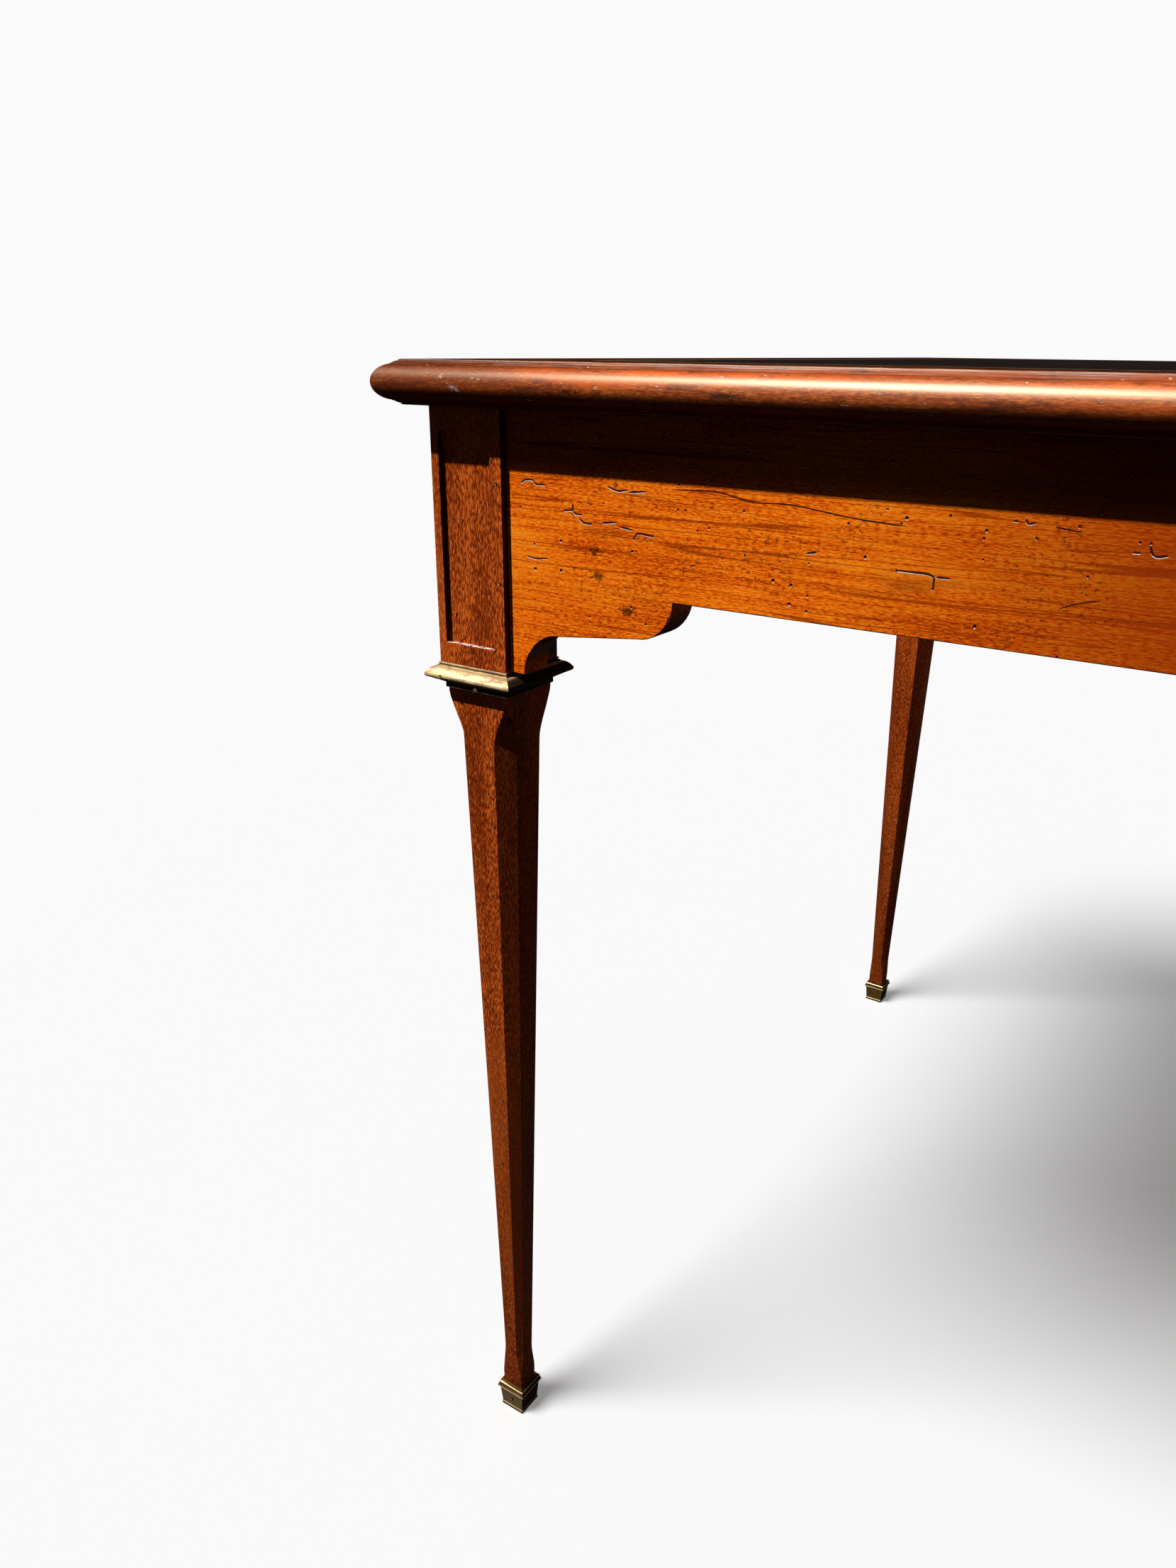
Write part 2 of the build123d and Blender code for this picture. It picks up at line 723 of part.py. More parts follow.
# Playing well with its inlay
light_points = inlay(0)
dark_points = inlay(1)
playing_board = board()
for inlaid in light_points + dark_points:
    playing_board -= inlaid
pieces["playing_board"] = playing_board
pieces["points_light"] = light_points
pieces["points_dark"] = dark_points
bar_across = (-bar_width / 2, bar_width / 2)
bar_along = (-well_half_depth, well_half_depth)
pieces["centre_bar"] = block(bar_across, bar_along, (board_top, board_top + bar_height))
pieces["well_rail_front"] = well_rail()
pieces["well_rail_back"] = half_turn * pieces["well_rail_front"]

# End bays and drawers: made for the right end and turned for the left
inner_runner, outer_runner = runners()
bay = {
    "partition": partition(),
    "bay_divider": divider(),
    "trough_board": trough_board(),
    "bay_deck": deck(),
    "runner_inner": inner_runner,
    "runner_outer": outer_runner,
}
for name, piece in bay.items():
    pieces[name + "_right"] = piece
    pieces[name + "_left"] = half_turn * piece
stops = drawer_stops()
pieces["drawer_stops"] = stops + [half_turn * stop for stop in stops]
for name, piece in drawer().items():
    pieces["front_drawer_" + name] = piece
    pieces["back_drawer_" + name] = half_turn * piece

# Lift-off top
keys = mitre_keys()
key_slots = keys[0] + keys[1] + keys[2] + keys[3]
socket_radius = peg_radius + peg_socket_clearance
socket_depth = peg_stand + peg_socket_end_gap
socket = Cylinder(socket_radius, socket_depth + overrun, align=(Align.CENTER, Align.CENTER, Align.MAX))
front_rail = top_rail(table_length / 2, table_depth / 2)
right_rail = Rot(0, 0, 90) * top_rail(table_depth / 2, table_length / 2)
pieces["top_rail_front"] = front_rail - key_slots
for sign in (-1, 1):
    pieces["top_rail_front"] -= Pos(sign * peg_x, -peg_y, carcass_top + socket_depth) * socket
pieces["top_rail_back"] = half_turn * pieces["top_rail_front"]
pieces["top_rail_right"] = right_rail - key_slots
pieces["top_rail_left"] = half_turn * pieces["top_rail_right"]
pieces["mitre_keys"] = keys
field_x = table_length / 2 - border_width
field_y = table_depth / 2 - border_width
top_middle = table_height - top_thickness / 2
core_low = carcass_top + baize_thickness
core_high = table_height - leather_thickness
tongue_z = (top_middle - core_tongue_thickness / 2, top_middle + core_tongue_thickness / 2)
tongue_x = field_x + core_tongue_length
tongue_y = field_y + core_tongue_length
pieces["top_core"] = block((-field_x, field_x), (-field_y, field_y), (core_low, core_high)) + block(
    (-tongue_x, tongue_x), (-tongue_y, tongue_y), tongue_z)
pieces["top_leather"] = block((-field_x, field_x), (-field_y, field_y), (core_high, table_height))
pieces["top_baize"] = block((-field_x, field_x), (-field_y, field_y), (carcass_top, core_low))

os.makedirs("parts", exist_ok=True)
for name, piece in pieces.items():
    shape = Compound(children=list(piece)) if isinstance(piece, list) else piece
    export_step(shape, "parts/" + name + ".step")
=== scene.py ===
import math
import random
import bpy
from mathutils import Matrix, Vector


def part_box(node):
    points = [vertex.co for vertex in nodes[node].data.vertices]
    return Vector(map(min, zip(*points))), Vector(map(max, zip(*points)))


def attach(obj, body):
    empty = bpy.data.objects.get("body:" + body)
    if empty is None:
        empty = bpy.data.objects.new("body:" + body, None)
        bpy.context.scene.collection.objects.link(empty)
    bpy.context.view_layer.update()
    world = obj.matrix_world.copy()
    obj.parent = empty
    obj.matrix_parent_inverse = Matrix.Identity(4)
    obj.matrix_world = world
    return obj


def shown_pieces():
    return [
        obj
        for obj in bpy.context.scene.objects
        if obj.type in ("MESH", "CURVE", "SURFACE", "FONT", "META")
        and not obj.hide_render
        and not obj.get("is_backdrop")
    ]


bl_info = {
    "name": "Tric Trac Table",
    "version": (1, 0, 0),
    "blender": (4, 5, 0),
    "location": "View3D > Sidebar > Table",
    "description": "Dresses the tric trac table in waxed cherry, brass, leather, baize and inlay",
    "category": "Object",
}

import bmesh
import bpy
from bpy.props import FloatProperty, FloatVectorProperty, PointerProperty
from mathutils import Matrix, Vector

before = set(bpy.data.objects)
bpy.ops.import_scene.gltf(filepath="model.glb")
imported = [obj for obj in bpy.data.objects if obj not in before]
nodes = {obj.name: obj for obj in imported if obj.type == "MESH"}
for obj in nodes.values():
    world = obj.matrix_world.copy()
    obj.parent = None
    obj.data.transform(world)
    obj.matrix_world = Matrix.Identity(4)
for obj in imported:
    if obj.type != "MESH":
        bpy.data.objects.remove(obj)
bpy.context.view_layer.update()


def tint(red, green, blue):
    """A colour picked on a screen, as the shader's own light values."""
    def light(level):
        share = level / 255
        return share / 12.92 if share <= 0.04045 else ((share + 0.055) / 1.055) ** 2.4

    return (light(red), light(green), light(blue), 1.0)


def colour(name, description, red, green, blue):
    """A colour that a user can change."""
    return FloatVectorProperty(
        name=name, description=description, subtype="COLOR", size=4, min=0, max=1,
        default=tint(red, green, blue))


def length(name, description, metres):
    """A length that a user can change."""
    return FloatProperty(name=name, description=description, unit="LENGTH", default=metres)


def angle(name, description, degrees):
    """An angle that a user can change."""
    return FloatProperty(
        name=name, description=description, subtype="ANGLE", default=math.radians(degrees))


def number(name, description, default):
    """A strength, or another plain number, that a user can change."""
    return FloatProperty(name=name, description=description, default=default)


class TricTracWoods(bpy.types.PropertyGroup):
    """Colours of the woods, each from its darkest streaks to its lightest"""

    apron_dark: colour("Apron, dark", "Dark streaks of the aprons", 140, 44, 4)
    apron_middle: colour("Apron", "Body colour of the aprons", 240, 100, 5)
    apron_light: colour("Apron, light", "Light streaks of the aprons", 252, 146, 28)
    leg_dark: colour("Leg, dark", "Ground of the flecked legs", 90, 31, 5)
    leg_middle: colour("Leg", "Body colour of the legs", 134, 49, 9)
    leg_light: colour("Leg, light", "Golden flecks of the legs", 207, 99, 35)
    edge_dark: colour("Edge, dark", "Dark streaks of the top's moulded edge", 62, 20, 6)
    edge_middle: colour("Edge", "Body colour of the top's moulded edge", 154, 64, 20)
    edge_light: colour("Edge, light", "Light streaks of the top's moulded edge", 216, 122, 38)
    field_dark: colour("Well, dark", "Dark streaks of the playing well", 44, 18, 10)
    field_middle: colour("Well", "Body colour of the playing well", 92, 42, 20)
    field_light: colour("Well, light", "Light streaks of the playing well", 128, 66, 34)
    inside_dark: colour("Inside, dark", "Dark streaks of the plain inner wood", 122, 80, 40)
    inside_middle: colour("Inside", "Body colour of the plain inner wood", 176, 124, 70)
    inside_light: colour("Inside, light", "Light streaks of the plain inner wood", 208, 162, 102)
    holly: colour("Light point", "Light inlaid points", 214, 184, 132)
    ebony: colour("Dark point", "Dark inlaid points", 34, 24, 20)
    worm: colour("Worm track", "Bottom of the worm tracks and pinholes", 38, 10, 6)
    # Dark wax for blots and scars, and also painted shade in the posts' inner corners, under the top's
    # overhang, on undersides and under the edge's torus, and a painted dark reflection on the edge's flat
    # rim.
    grime_and_shade: colour("Old wax and painted shade", "Dark wax, and painted shade in corners, under the top and on undersides", 22, 6, 3)
    # Pale wax and dust for scuffs, and also painted highlights on the lower lips of worm tracks, pinholes
    # and dents, on the edge's arrises and the panels' ledges, plus a painted sky reflection in the edge's
    # film.
    dust_and_highlight: colour("Pale wax", "Pale wax and dust on ledges and in the lips of the tracks", 226, 220, 212)


class TricTracTrim(bpy.types.PropertyGroup):
    """Colours of the brass, the leather and the baize"""

    brass: colour("Brass", "Polished brass of the collars", 196, 167, 122)
    tarnish: colour("Tarnish", "Grey tarnish streaks on the collars", 112, 90, 66)
    patina: colour("Patina", "Olive patina of the feet and of hidden brass", 72, 54, 18)
    # Also painted shade in the collars' hollow and quirk, and on the inner and lower sides of the collars
    # and feet.
    grime_and_shade: colour("Dirt and painted shade", "Old polish, and painted shade in the brass's hollows and quirks and on its inner and lower sides", 32, 15, 7)
    leather: colour("Leather", "Glossy leather of the top", 20, 17, 16)
    gilding: colour("Gilding", "Tooled lines round the leather", 170, 128, 58)
    baize: colour("Baize", "Baize under the top", 24, 82, 44)
    tooling_inset: length("Tooling inset", "From the leather's edge to its tooled lines", 0.022)


class TricTracStage(bpy.types.PropertyGroup):
    """The camera and the light"""

    eye: FloatVectorProperty(
        name="Eye", description="Where the camera stands", subtype="TRANSLATION", unit="LENGTH",
        default=(-0.1374, -0.8703, 0.7517))
    heading: angle("Heading", "Turn of the view to the left of straight ahead", 33.41)
    pitch: angle("Pitch", "Turn of the view below the horizon", 22.1)
    roll: angle("Roll", "Tilt of the camera about its own axis", 0.64)
    lens: number("Lens", "Focal length in millimetres", 26.516)
    shift_x: number("Shift X", "Sideways shift of the lens", -0.01736)
    shift_y: number("Shift Y", "Upward shift of the lens", 0.02045)
    key: number("Key light", "Strength of the main lamp", 5.1)
    sky: number("Floor light", "Strength of the soft lamp over the floor", 3.0)
    haze: number("Shadow light", "Strength of the lamp that lifts the floor's shadow", 1.1)
    glint: number("Glint", "Strength of the lamp that shows only in the edge's polish", 78.0)
    back: number("Back light", "Strength of the soft lamp behind", 1.8)
    under: number("Under light", "Strength of the lamp on the undersides", 0.7)
    fill: number("Fill light", "Strength of the even light all round", 0.024)
    pale: colour("Background", "Pale background and floor", 250, 250, 250)


MILLIMETRE = 0.001


def math_node(operation, turned=False):
    """One of Python's operators on a Value, as a Math node of its finish."""
    def method(self, *others):
        values = (*others, self) if turned else (self, *others)
        return self.finish.maths(operation, *values)

    return method


class Value:
    """Something that varies over a surface: a sum on it adds a Math node to its finish."""

    def __init__(self, finish, socket):
        self.finish = finish
        self.socket = socket

    __add__ = math_node("ADD")
    __radd__ = math_node("ADD", turned=True)
    __sub__ = math_node("SUBTRACT")
    __rsub__ = math_node("SUBTRACT", turned=True)
    __mul__ = math_node("MULTIPLY")
    __rmul__ = math_node("MULTIPLY", turned=True)
    __truediv__ = math_node("DIVIDE")
    __rtruediv__ = math_node("DIVIDE", turned=True)
    __lt__ = math_node("LESS_THAN")
    __gt__ = math_node("GREATER_THAN")
    __abs__ = math_node("ABSOLUTE")


class Finish:
    """A material, or the world, while its nodes are being laid."""

    def __init__(self, owner):
        self.material = bpy.data.materials.new(owner) if isinstance(owner, str) else owner
        self.material.use_nodes = True
        self.tree = self.material.node_tree
        self.tree.nodes.clear()

    def node(self, kind, settings=None, sockets=None, out=0):
        """A node with its settings, then the values or links of its sockets; gives one output."""
        made = self.tree.nodes.new(kind)
        for name, value in (settings or {}).items():
            if name == "stops":
                self.set_stops(made.color_ramp.elements, value)
            else:
                setattr(made, name, value)
        for key, value in (sockets or {}).items():
            if isinstance(value, Value):
                self.tree.links.new(value.socket, made.inputs[key])
            else:
                made.inputs[key].default_value = value
        return Value(self, made.outputs[out]) if len(made.outputs) else None

    def set_stops(self, elements, stops):
        """Gives a colour ramp its stops."""
        while len(elements) < len(stops):
            elements.new(1)
        for element, (position, shade) in zip(elements, stops):
            element.position = position
            element.color = shade

    def outputs(self, value):
        """All outputs of the node that gives a value, by their names."""
        return {socket.name: Value(self, socket) for socket in value.socket.node.outputs}

    def maths(self, operation, *values):
        """A Math node."""
        return self.node("ShaderNodeMath", {"operation": operation}, dict(enumerate(values)))

    def most(self, first, *others):
        """The largest of some values."""
        for other in others:
            first = self.maths("MAXIMUM", first, other)
        return first

    def span(self, one, other):
        """How far a point lies off, from how far it lies off in two square ways."""
        return self.maths("SQRT", one * one + other * other)

    def parts(self, vector):
        """The three parts of a vector."""
        return list(self.outputs(self.node("ShaderNodeSeparateXYZ", sockets={0: vector})).values())

    def vector(self, *parts):
        """A vector from three numbers."""
        return self.node("ShaderNodeCombineXYZ", sockets=dict(enumerate(parts)))

    def place(self):
        """The table's own metres at a point, as three numbers."""
        return self.parts(self.node("ShaderNodeTexCoord", out="Object"))

    def facing(self):
        """The direction that a surface faces, as three numbers."""
        return self.parts(self.node("ShaderNodeNewGeometry", out="Normal"))

    def noise(self, place, scale, detail=2.0, roughness=0.5, distortion=0.0):
        """Soft random patches, with a scale for each of the place's three numbers."""
        spot = self.vector(*[part * size for part, size in zip(place, scale)])
        return self.node("ShaderNodeTexNoise", sockets={
            "Vector": spot, "Scale": 1.0, "Detail": detail, "Roughness": roughness,
            "Distortion": distortion})

    def spread(self, value, low, high):
        """0 at one level and 1 at another, straight between them."""
        return self.node("ShaderNodeMapRange", sockets={
            "Value": value, "From Min": low, "From Max": high})

    def ease(self, value, low, high):
        """0 at one level and 1 at another, with a soft passage between them."""
        return self.node("ShaderNodeMapRange", {"interpolation_type": "SMOOTHSTEP"}, {
            "Value": value, "From Min": low, "From Max": high})

    def line(self, value, level, outside, inside):
        """1 on a thin line where a value has a level, with its softness as two distances from it."""
        return self.ease(abs(value - level), outside, inside)

    def band(self, value, rise, fall):
        """1 between two soft passages, each given as the levels where it is 0 and 1."""
        return self.ease(value, *rise) * self.ease(value, *fall)

    def ramp(self, value, levels, shades):
        """A colour for each level of a value."""
        return self.node("ShaderNodeValToRGB", {"stops": list(zip(levels, shades))}, {0: value})

    def layers(self, shade, *coats):
        """A colour under further ones, each with the share in which it covers those below."""
        for share, coat in coats:
            sockets = {0: share, 6: shade, 7: coat}
            shade = self.node("ShaderNodeMix", {"data_type": "RGBA"}, sockets, out=2)
        return shade

    def bump(self, height, distance, strength):
        """A surface's tilt from a height that is 1 at the given distance."""
        return self.node("ShaderNodeBump", sockets={
            "Strength": strength, "Distance": distance, "Height": height})

    def polish(self, weight):
        """A wax coat that is fullest where it is looked at squarely."""
        slant = self.node("ShaderNodeLayerWeight", sockets={"Blend": 0.5}, out="Facing")
        return self.ease(slant, 0.9, 0.45) * weight

    def waxed(self, shade, roughness, height, depth, wax, wax_roughness=0.35):
        """Closes a wood's finish: its colour and grain under a thin wax."""
        return self.surface(
            Base_Color=shade,
            Roughness=roughness,
            Normal=self.bump(height, depth, 0.7),
            Specular_IOR_Level=0.0,
            Coat_Weight=self.polish(wax),
            Coat_Roughness=wax_roughness,
        )

    def surface(self, **sockets):
        """Closes the finish with its shader, and gives the material."""
        given = {name.replace("_", " "): value for name, value in sockets.items()}
        shader = self.node("ShaderNodeBsdfPrincipled", sockets=given)
        self.node("ShaderNodeOutputMaterial", sockets={"Surface": shader})
        return self.material


def tones(woods, part):
    """The dark, middle and light colours of one of the woods."""
    return [getattr(woods, part + "_" + tone) for tone in ("dark", "middle", "light")]


def along_grain(finish, along):
    """Metres along the grain, across it on the face, and into the board."""
    x, y, z = finish.place()
    if along == "z":
        return z, x + y, x - y
    return (x, z, y) if along == "x" else (y, z, x)


def inward(finish, way):
    """How squarely a surface looks in towards the table's middle, along x or y."""
    axis = "xy".index(way)
    return -1 * finish.facing()[axis] * finish.maths("SIGN", finish.place()[axis])


def cells(finish, run, across, per_metre_run, per_metre_across):
    """Random cells on a face: metres from the cell's middle both ways, and two random numbers."""
    spot = finish.vector(run * per_metre_run, across * per_metre_across, 0.0)
    cell = finish.outputs(finish.node("ShaderNodeTexVoronoi", {"voronoi_dimensions": "2D"}, {
        "Vector": spot, "Scale": 1.0}))
    chance = finish.outputs(finish.node("ShaderNodeSeparateColor", sockets={0: cell["Color"]}))
    middle = finish.parts(cell["Position"])
    here = finish.parts(spot)
    off_run = (here[0] - middle[0]) / per_metre_run
    off_across = (here[1] - middle[1]) / per_metre_across
    return off_run, off_across, chance["Red"], chance["Green"]


def worm_tracks(finish, run, across, share):
    """Short tracks along the grain: how deep a point lies in one, and how far in its lit lip."""
    off_run, off_across, chance, size = cells(finish, run, across, 26.0, 66.0)
    bend = finish.noise((run, across, 0.0), (150, 40, 0), 0)
    side = off_across + (finish.maths("SNAP", bend, 0.12) * 0.8 + bend * 0.2) * 0.011 - 0.0055
    half = 0.003 + size * 0.008
    reach = finish.ease(abs(off_run) - half, 0.0008, -0.0002) * (chance < share)
    track = finish.ease(abs(side), 0.00055, 0.00025) * reach
    lip = finish.line(side, -0.00065, 0.00035, 0.00012) * reach
    return track, lip


def pinholes(finish, run, across, per_metre, radius, share):
    """Small round holes: how deep a point lies in one, and how far in its lit lower lip."""
    off_run, off_across, chance, size = cells(finish, run, across, per_metre, per_metre)
    round_size = radius * (0.6 + size * 0.6)

    def disc(lift, reach):
        far = finish.span(off_run, off_across + lift)
        return finish.ease(far / reach, 1.15, 0.75) * (chance < share)

    return disc(0.0, round_size), disc(round_size * 0.9, round_size * 0.45)


def figure(finish, grain, fine=1.0):
    """The grain of a board: clouds, long streaks, short fine streaks, and dark hairlines."""
    run, across, depth = grain
    sway = (finish.noise(grain, (4, 9, 9), 2) - 0.5) * 0.014
    swayed = (run, across + sway, depth)
    cloud = finish.noise(swayed, (10, 38, 38), 3)
    streak = finish.noise(swayed, (22, 420, 420), 4, 0.65)
    fleck = finish.noise(swayed, (330, 1900, 1900), 3, 0.6)
    ring = finish.noise(swayed, (1.8, 110, 110), 1.5)
    hair = finish.line(finish.maths("FRACT", ring * 8), 0.5, 0.07 * fine, 0.01)
    tone = (
        finish.spread(cloud, 0.32, 0.68) * 0.24
        + finish.spread(streak, 0.34, 0.66) * 0.22
        + finish.spread(fleck, 0.33, 0.67) * 0.54
    )
    return tone, hair, streak, fleck


# Metres of the front apron, from its left end, whose worm tracks are listed one by one.
HAND_SET_STRETCH = 0.36


def by_hand(finish):
    """1 on the stretch of the front apron whose worm tracks are listed one by one."""
    x, y, _ = finish.place()
    low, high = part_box("apron_front")
    return (x < low.x + HAND_SET_STRETCH) * (y < high.y)


# Marks at the front: millimetres from the left post's outer face, above the floor, and across.
BLOTS = ((105, 655.5, 5.4), (106, 643, 6.2), (125, 627.5, 7.6))
SCUFFS = (
    (27, 737.4, 3.0), (48, 737, 2.0), (52, 736.6, 1.2), (32, 734, 1.4), (35, 732.5, 3.6), (38, 731, 2.4),
    (65, 739.3, 1.4), (122, 734.5, 1.8), (186, 739.8, 1.8), (201, 739.2, 2.0),
)
SCARS = ((107, 732.2, 2.6), (190, 732.5, 3.6))


def marks(finish, places, squeeze):
    """1 in the middle of each mark, fading out to its rim, with its length squeezed."""
    place = finish.place()
    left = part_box("leg_front_left")[0].x
    rag = finish.noise(place, (420, 0, 700), 3, 0.6)
    total = 0.0
    for along, above, size in places:
        off = (place[0] - left - along * MILLIMETRE) * squeeze
        rise = place[2] - above * MILLIMETRE
        rim = size * MILLIMETRE / 2
        far = finish.span(off, rise) + (rag - 0.5) * (rim * 3.6)
        total = finish.ease(far, rim, rim * 0.2) + total
    return total * by_hand(finish)


# Heights in metres between which the painted shade on the aprons' strip under the top sets in.
UNDER_TOP_SHADE_STRIP = (0.688, 0.7)


def waxed_cherry(name, along, woods):
    """The orange aprons: streaked, with hairlines, worm tracks, pinholes, specks and stains."""
    wood = Finish(name)
    grain = along_grain(wood, along)
    run, across, _ = grain
    tone, hair, streak, fleck = figure(wood, grain, 1.25)
    stain = wood.ease(wood.noise(grain, (9, 64, 64), 3, 0.6), 0.58, 0.8)
    under_top_shade = wood.ease(wood.place()[2], *UNDER_TOP_SHADE_STRIP)
    blots = marks(wood, BLOTS, 0.6) if along == "x" else 0.0
    hole, hole_lip = pinholes(wood, run, across, per_metre=115.0, radius=0.00075, share=0.09)
    track, track_lip = worm_tracks(wood, run, across, 0.15 * (1 - by_hand(wood)))
    facing = wood.facing()
    square = wood.ease(abs(facing["yx".index(along)]), 0.7, 0.9)
    patches = wood.ease(wood.noise((run, across, 1.0), (22, 34, 8), 2), 0.46, 0.6)
    speck = wood.ease(wood.noise(grain, (430, 560, 430), 2, 0.6), 0.575, 0.635) * patches * square
    deep = wood.most(track, hole) * square
    shade = wood.layers(
        wood.ramp(tone, (0.2, 0.46, 0.72), tones(woods, "apron")),
        (hair * 0.8, woods.apron_dark),
        (stain * 0.5, woods.leg_dark),
        (wood.ease(abs(run), 0.38, 0.15) * 0.85, woods.apron_dark),
        # Painted shade under the top's overhang.
        (under_top_shade * 0.5, woods.grime_and_shade),
        (blots * 0.85, woods.grime_and_shade),
        (speck * 0.6, woods.leg_dark),
        (deep, woods.worm),
        # Painted highlights on the lower lips of the tracks and holes.
        (wood.most(track_lip, hole_lip) * square * 0.8, woods.dust_and_highlight),
        # Painted shade on the downward faces.
        (wood.ease(facing[2], -0.15, -0.5) * 0.88, woods.grime_and_shade),
    )
    height = streak * 0.25 + fleck * 0.4 - hair * 0.2 - deep * 2.2 - speck * 0.4
    roughness = 0.38 + fleck * 0.16 + deep * 0.3
    return wood.waxed(shade, roughness, height, depth=0.00022, wax=0.07 - under_top_shade * 0.06)


# Heights in metres: the posts' inner corners above their foot, painted dark with shade, and the ledge of
# their sunk panels.
INNER_CORNERS = (0.584, 0.586)
PANEL_LEDGE = ((0.58, 0.585), (0.62, 0.61))


def flecked_leg(woods):
    """The red-brown legs: short wavy golden flecks that run upwards, with a few pinholes."""
    wood = Finish("flecked leg")
    place = wood.place()
    x, y, z = place
    upright = (z, x, y)
    grain = along_grain(wood, "z")
    drift = (wood.noise(grain, (70, 60, 60), 1) - 0.5) * 0.003
    fleck = wood.noise((z, x + drift, y + drift), (320, 1600, 1600), 1.5, 0.5, 0.3)
    fine = wood.noise(upright, (500, 2200, 2200), 1)
    cloud = wood.noise(upright, (7, 55, 55), 3)
    tone = (
        wood.spread(fleck, 0.34, 0.66) * 0.62
        + wood.spread(fine, 0.3, 0.7) * 0.14
        + wood.spread(cloud, 0.34, 0.66) * 0.24
    )
    warm = wood.ease(wood.noise(upright, (5, 30, 30), 1), 0.52, 0.7)
    knock = wood.ease(wood.noise(upright, (130, 160, 160), 2), 0.7, 0.76) * 0.6
    corner = wood.ease(wood.most(inward(wood, "x"), inward(wood, "y")), 0.6, 0.8)
    out_x, out_y, up = wood.facing()
    square = wood.most(abs(out_x), abs(out_y))
    level = wood.ease(abs(up), 0.7, 0.4)
    hole, lip = pinholes(wood, *grain[:2], per_metre=95.0, radius=0.0009, share=0.13)
    hole = hole * level
    ledge = wood.ease(up, 0.8, 0.95) * wood.band(z, *PANEL_LEDGE)
    powder = wood.ease(wood.noise(place, (500, 500, 500), 2), 0.36, 0.56)
    shade = wood.layers(
        wood.ramp(tone, (0.2, 0.5, 0.8), tones(woods, "leg")),
        (warm * 0.27, woods.leg_light),
        (knock, woods.leg_dark),
        # Darker towards the foot.
        (wood.ease(z, 0.55, 0.06) * 0.5, woods.grime_and_shade),
        # Painted shade on the posts' inward sides above their foot, and on the sunk panels' inner walls.
        (corner * wood.ease(z, *INNER_CORNERS) * 0.9, woods.grime_and_shade),
        # Painted shade on the chamfers and rounded arrises, which face off the square.
        (wood.ease(square, 0.95, 0.8) * 0.4, woods.leg_dark),
        (hole, woods.worm),
        # Painted highlights on the pinholes' lower lips, and dust with a painted highlight on the panels'
        # upward ledge.
        (lip * level * 0.5, woods.dust_and_highlight),
        (ledge * powder * 0.85, woods.dust_and_highlight),
    )
    height = fleck * 0.5 + fine * 0.2 - hole * 2.0 - knock * 0.8
    return wood.waxed(shade, 0.38 + fleck * 0.15 + hole * 0.3, height, depth=0.0002, wax=0.05)


# The top's moulded edge, in metres in from its outer face: its step, the pale film on it (dust and
# painted sky reflection), the flat rim inside it (painted dark reflection), its grooves (painted shade)
# and its lit arrises.
EDGE_STEP = ((0.003, 0.0068), (0.0125, 0.0115))
EDGE_FILM = ((0.0066, 0.0074), (0.0098, 0.0088))
EDGE_RIM = (0.0118, 0.0124)
EDGE_GROOVES = (0.0104, 0.0071)
EDGE_ARRISES = (0.0096, 0.0113)


def polished_edge(name, along, woods):
    """The top's moulded edge: dark polished cherry, dented and scuffed."""
    wood = Finish(name)
    grain = along_grain(wood, along)
    run, across, depth = grain
    tone, hair, streak, fleck = figure(wood, grain, 1.6)
    worn = wood.ease(wood.noise(grain, (9, 60, 60), 3, 0.6), 0.5, 0.7)
    mottle = wood.ease(wood.noise(grain, (70, 240, 240), 3, 0.65), 0.54, 0.66)
    scuff = wood.ease(wood.noise(grain, (110, 380, 380), 4, 0.7), 0.66, 0.74)
    wave = wood.noise(grain, (45, 90, 90), 2)
    dent, lip = pinholes(wood, run, across + depth, per_metre=60.0, radius=0.0013, share=0.16)
    hole, _ = pinholes(wood, run, across - depth, per_metre=90.0, radius=0.0005, share=0.08)
    rub = scars = 0.0
    if along == "x":
        chalk = wood.noise(grain, (1400, 1400, 1400), 2)
        rub = marks(wood, SCUFFS, 0.6) * wood.ease(chalk, 0.4, 0.6)
        scars = marks(wood, SCARS, 0.16)
    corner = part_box("top_rail_" + {"x": "back", "y": "right"}[along])[1]
    reach, out = (corner.x, corner.y) if along == "x" else (corner.y, corner.x)
    inset = out - abs(depth)
    up = wood.facing()[2]
    below = wood.ease(up, 0.0, -0.45)
    step = wood.band(inset, *EDGE_STEP) * 0.5
    shade = wood.layers(
        wood.ramp(tone, (0.02, 0.5, 0.96), tones(woods, "edge")),
        (hair * 0.5, woods.edge_dark),
        (worn * 0.5, woods.apron_middle),
        (mottle * 0.55, woods.edge_dark),
        *moulding_lines(wood, woods, inset, across, streak, step),
        # Painted dark reflection on the flat rim inside the edge.
        (wood.ease(inset, *EDGE_RIM) * wood.ease(up, 0.9, 0.99) * 0.85, woods.grime_and_shade),
        # Painted shade on the downward side of the torus.
        (below * 0.75, woods.grime_and_shade),
        (wood.ease(abs(run), reach - 0.17, reach - 0.02) * 0.55, woods.edge_dark),
        # Pale scuffs, with painted highlights on the dents' lower lips.
        (scuff * 0.6 + lip * 0.5, woods.dust_and_highlight),
        (hole, woods.worm),
        (rub * 0.4, woods.dust_and_highlight),
        (scars * 0.8, woods.grime_and_shade),
    )
    scuff = wood.most(scuff, rub)
    height = streak * 0.3 + fleck * 0.2 + wave * 1.4 - dent * 2.5 - hole * 1.5 - scuff * 0.3
    roughness = 0.36 + fleck * 0.12 + scuff * 0.25
    wax = 0.09 + wood.ease(abs(run), reach - 0.02, reach - 0.32) * 0.12
    wax = wax * (1 - below * 0.8) * (1 - step)
    return wood.waxed(shade, roughness, height, depth=0.0002, wax=wax, wax_roughness=0.42)


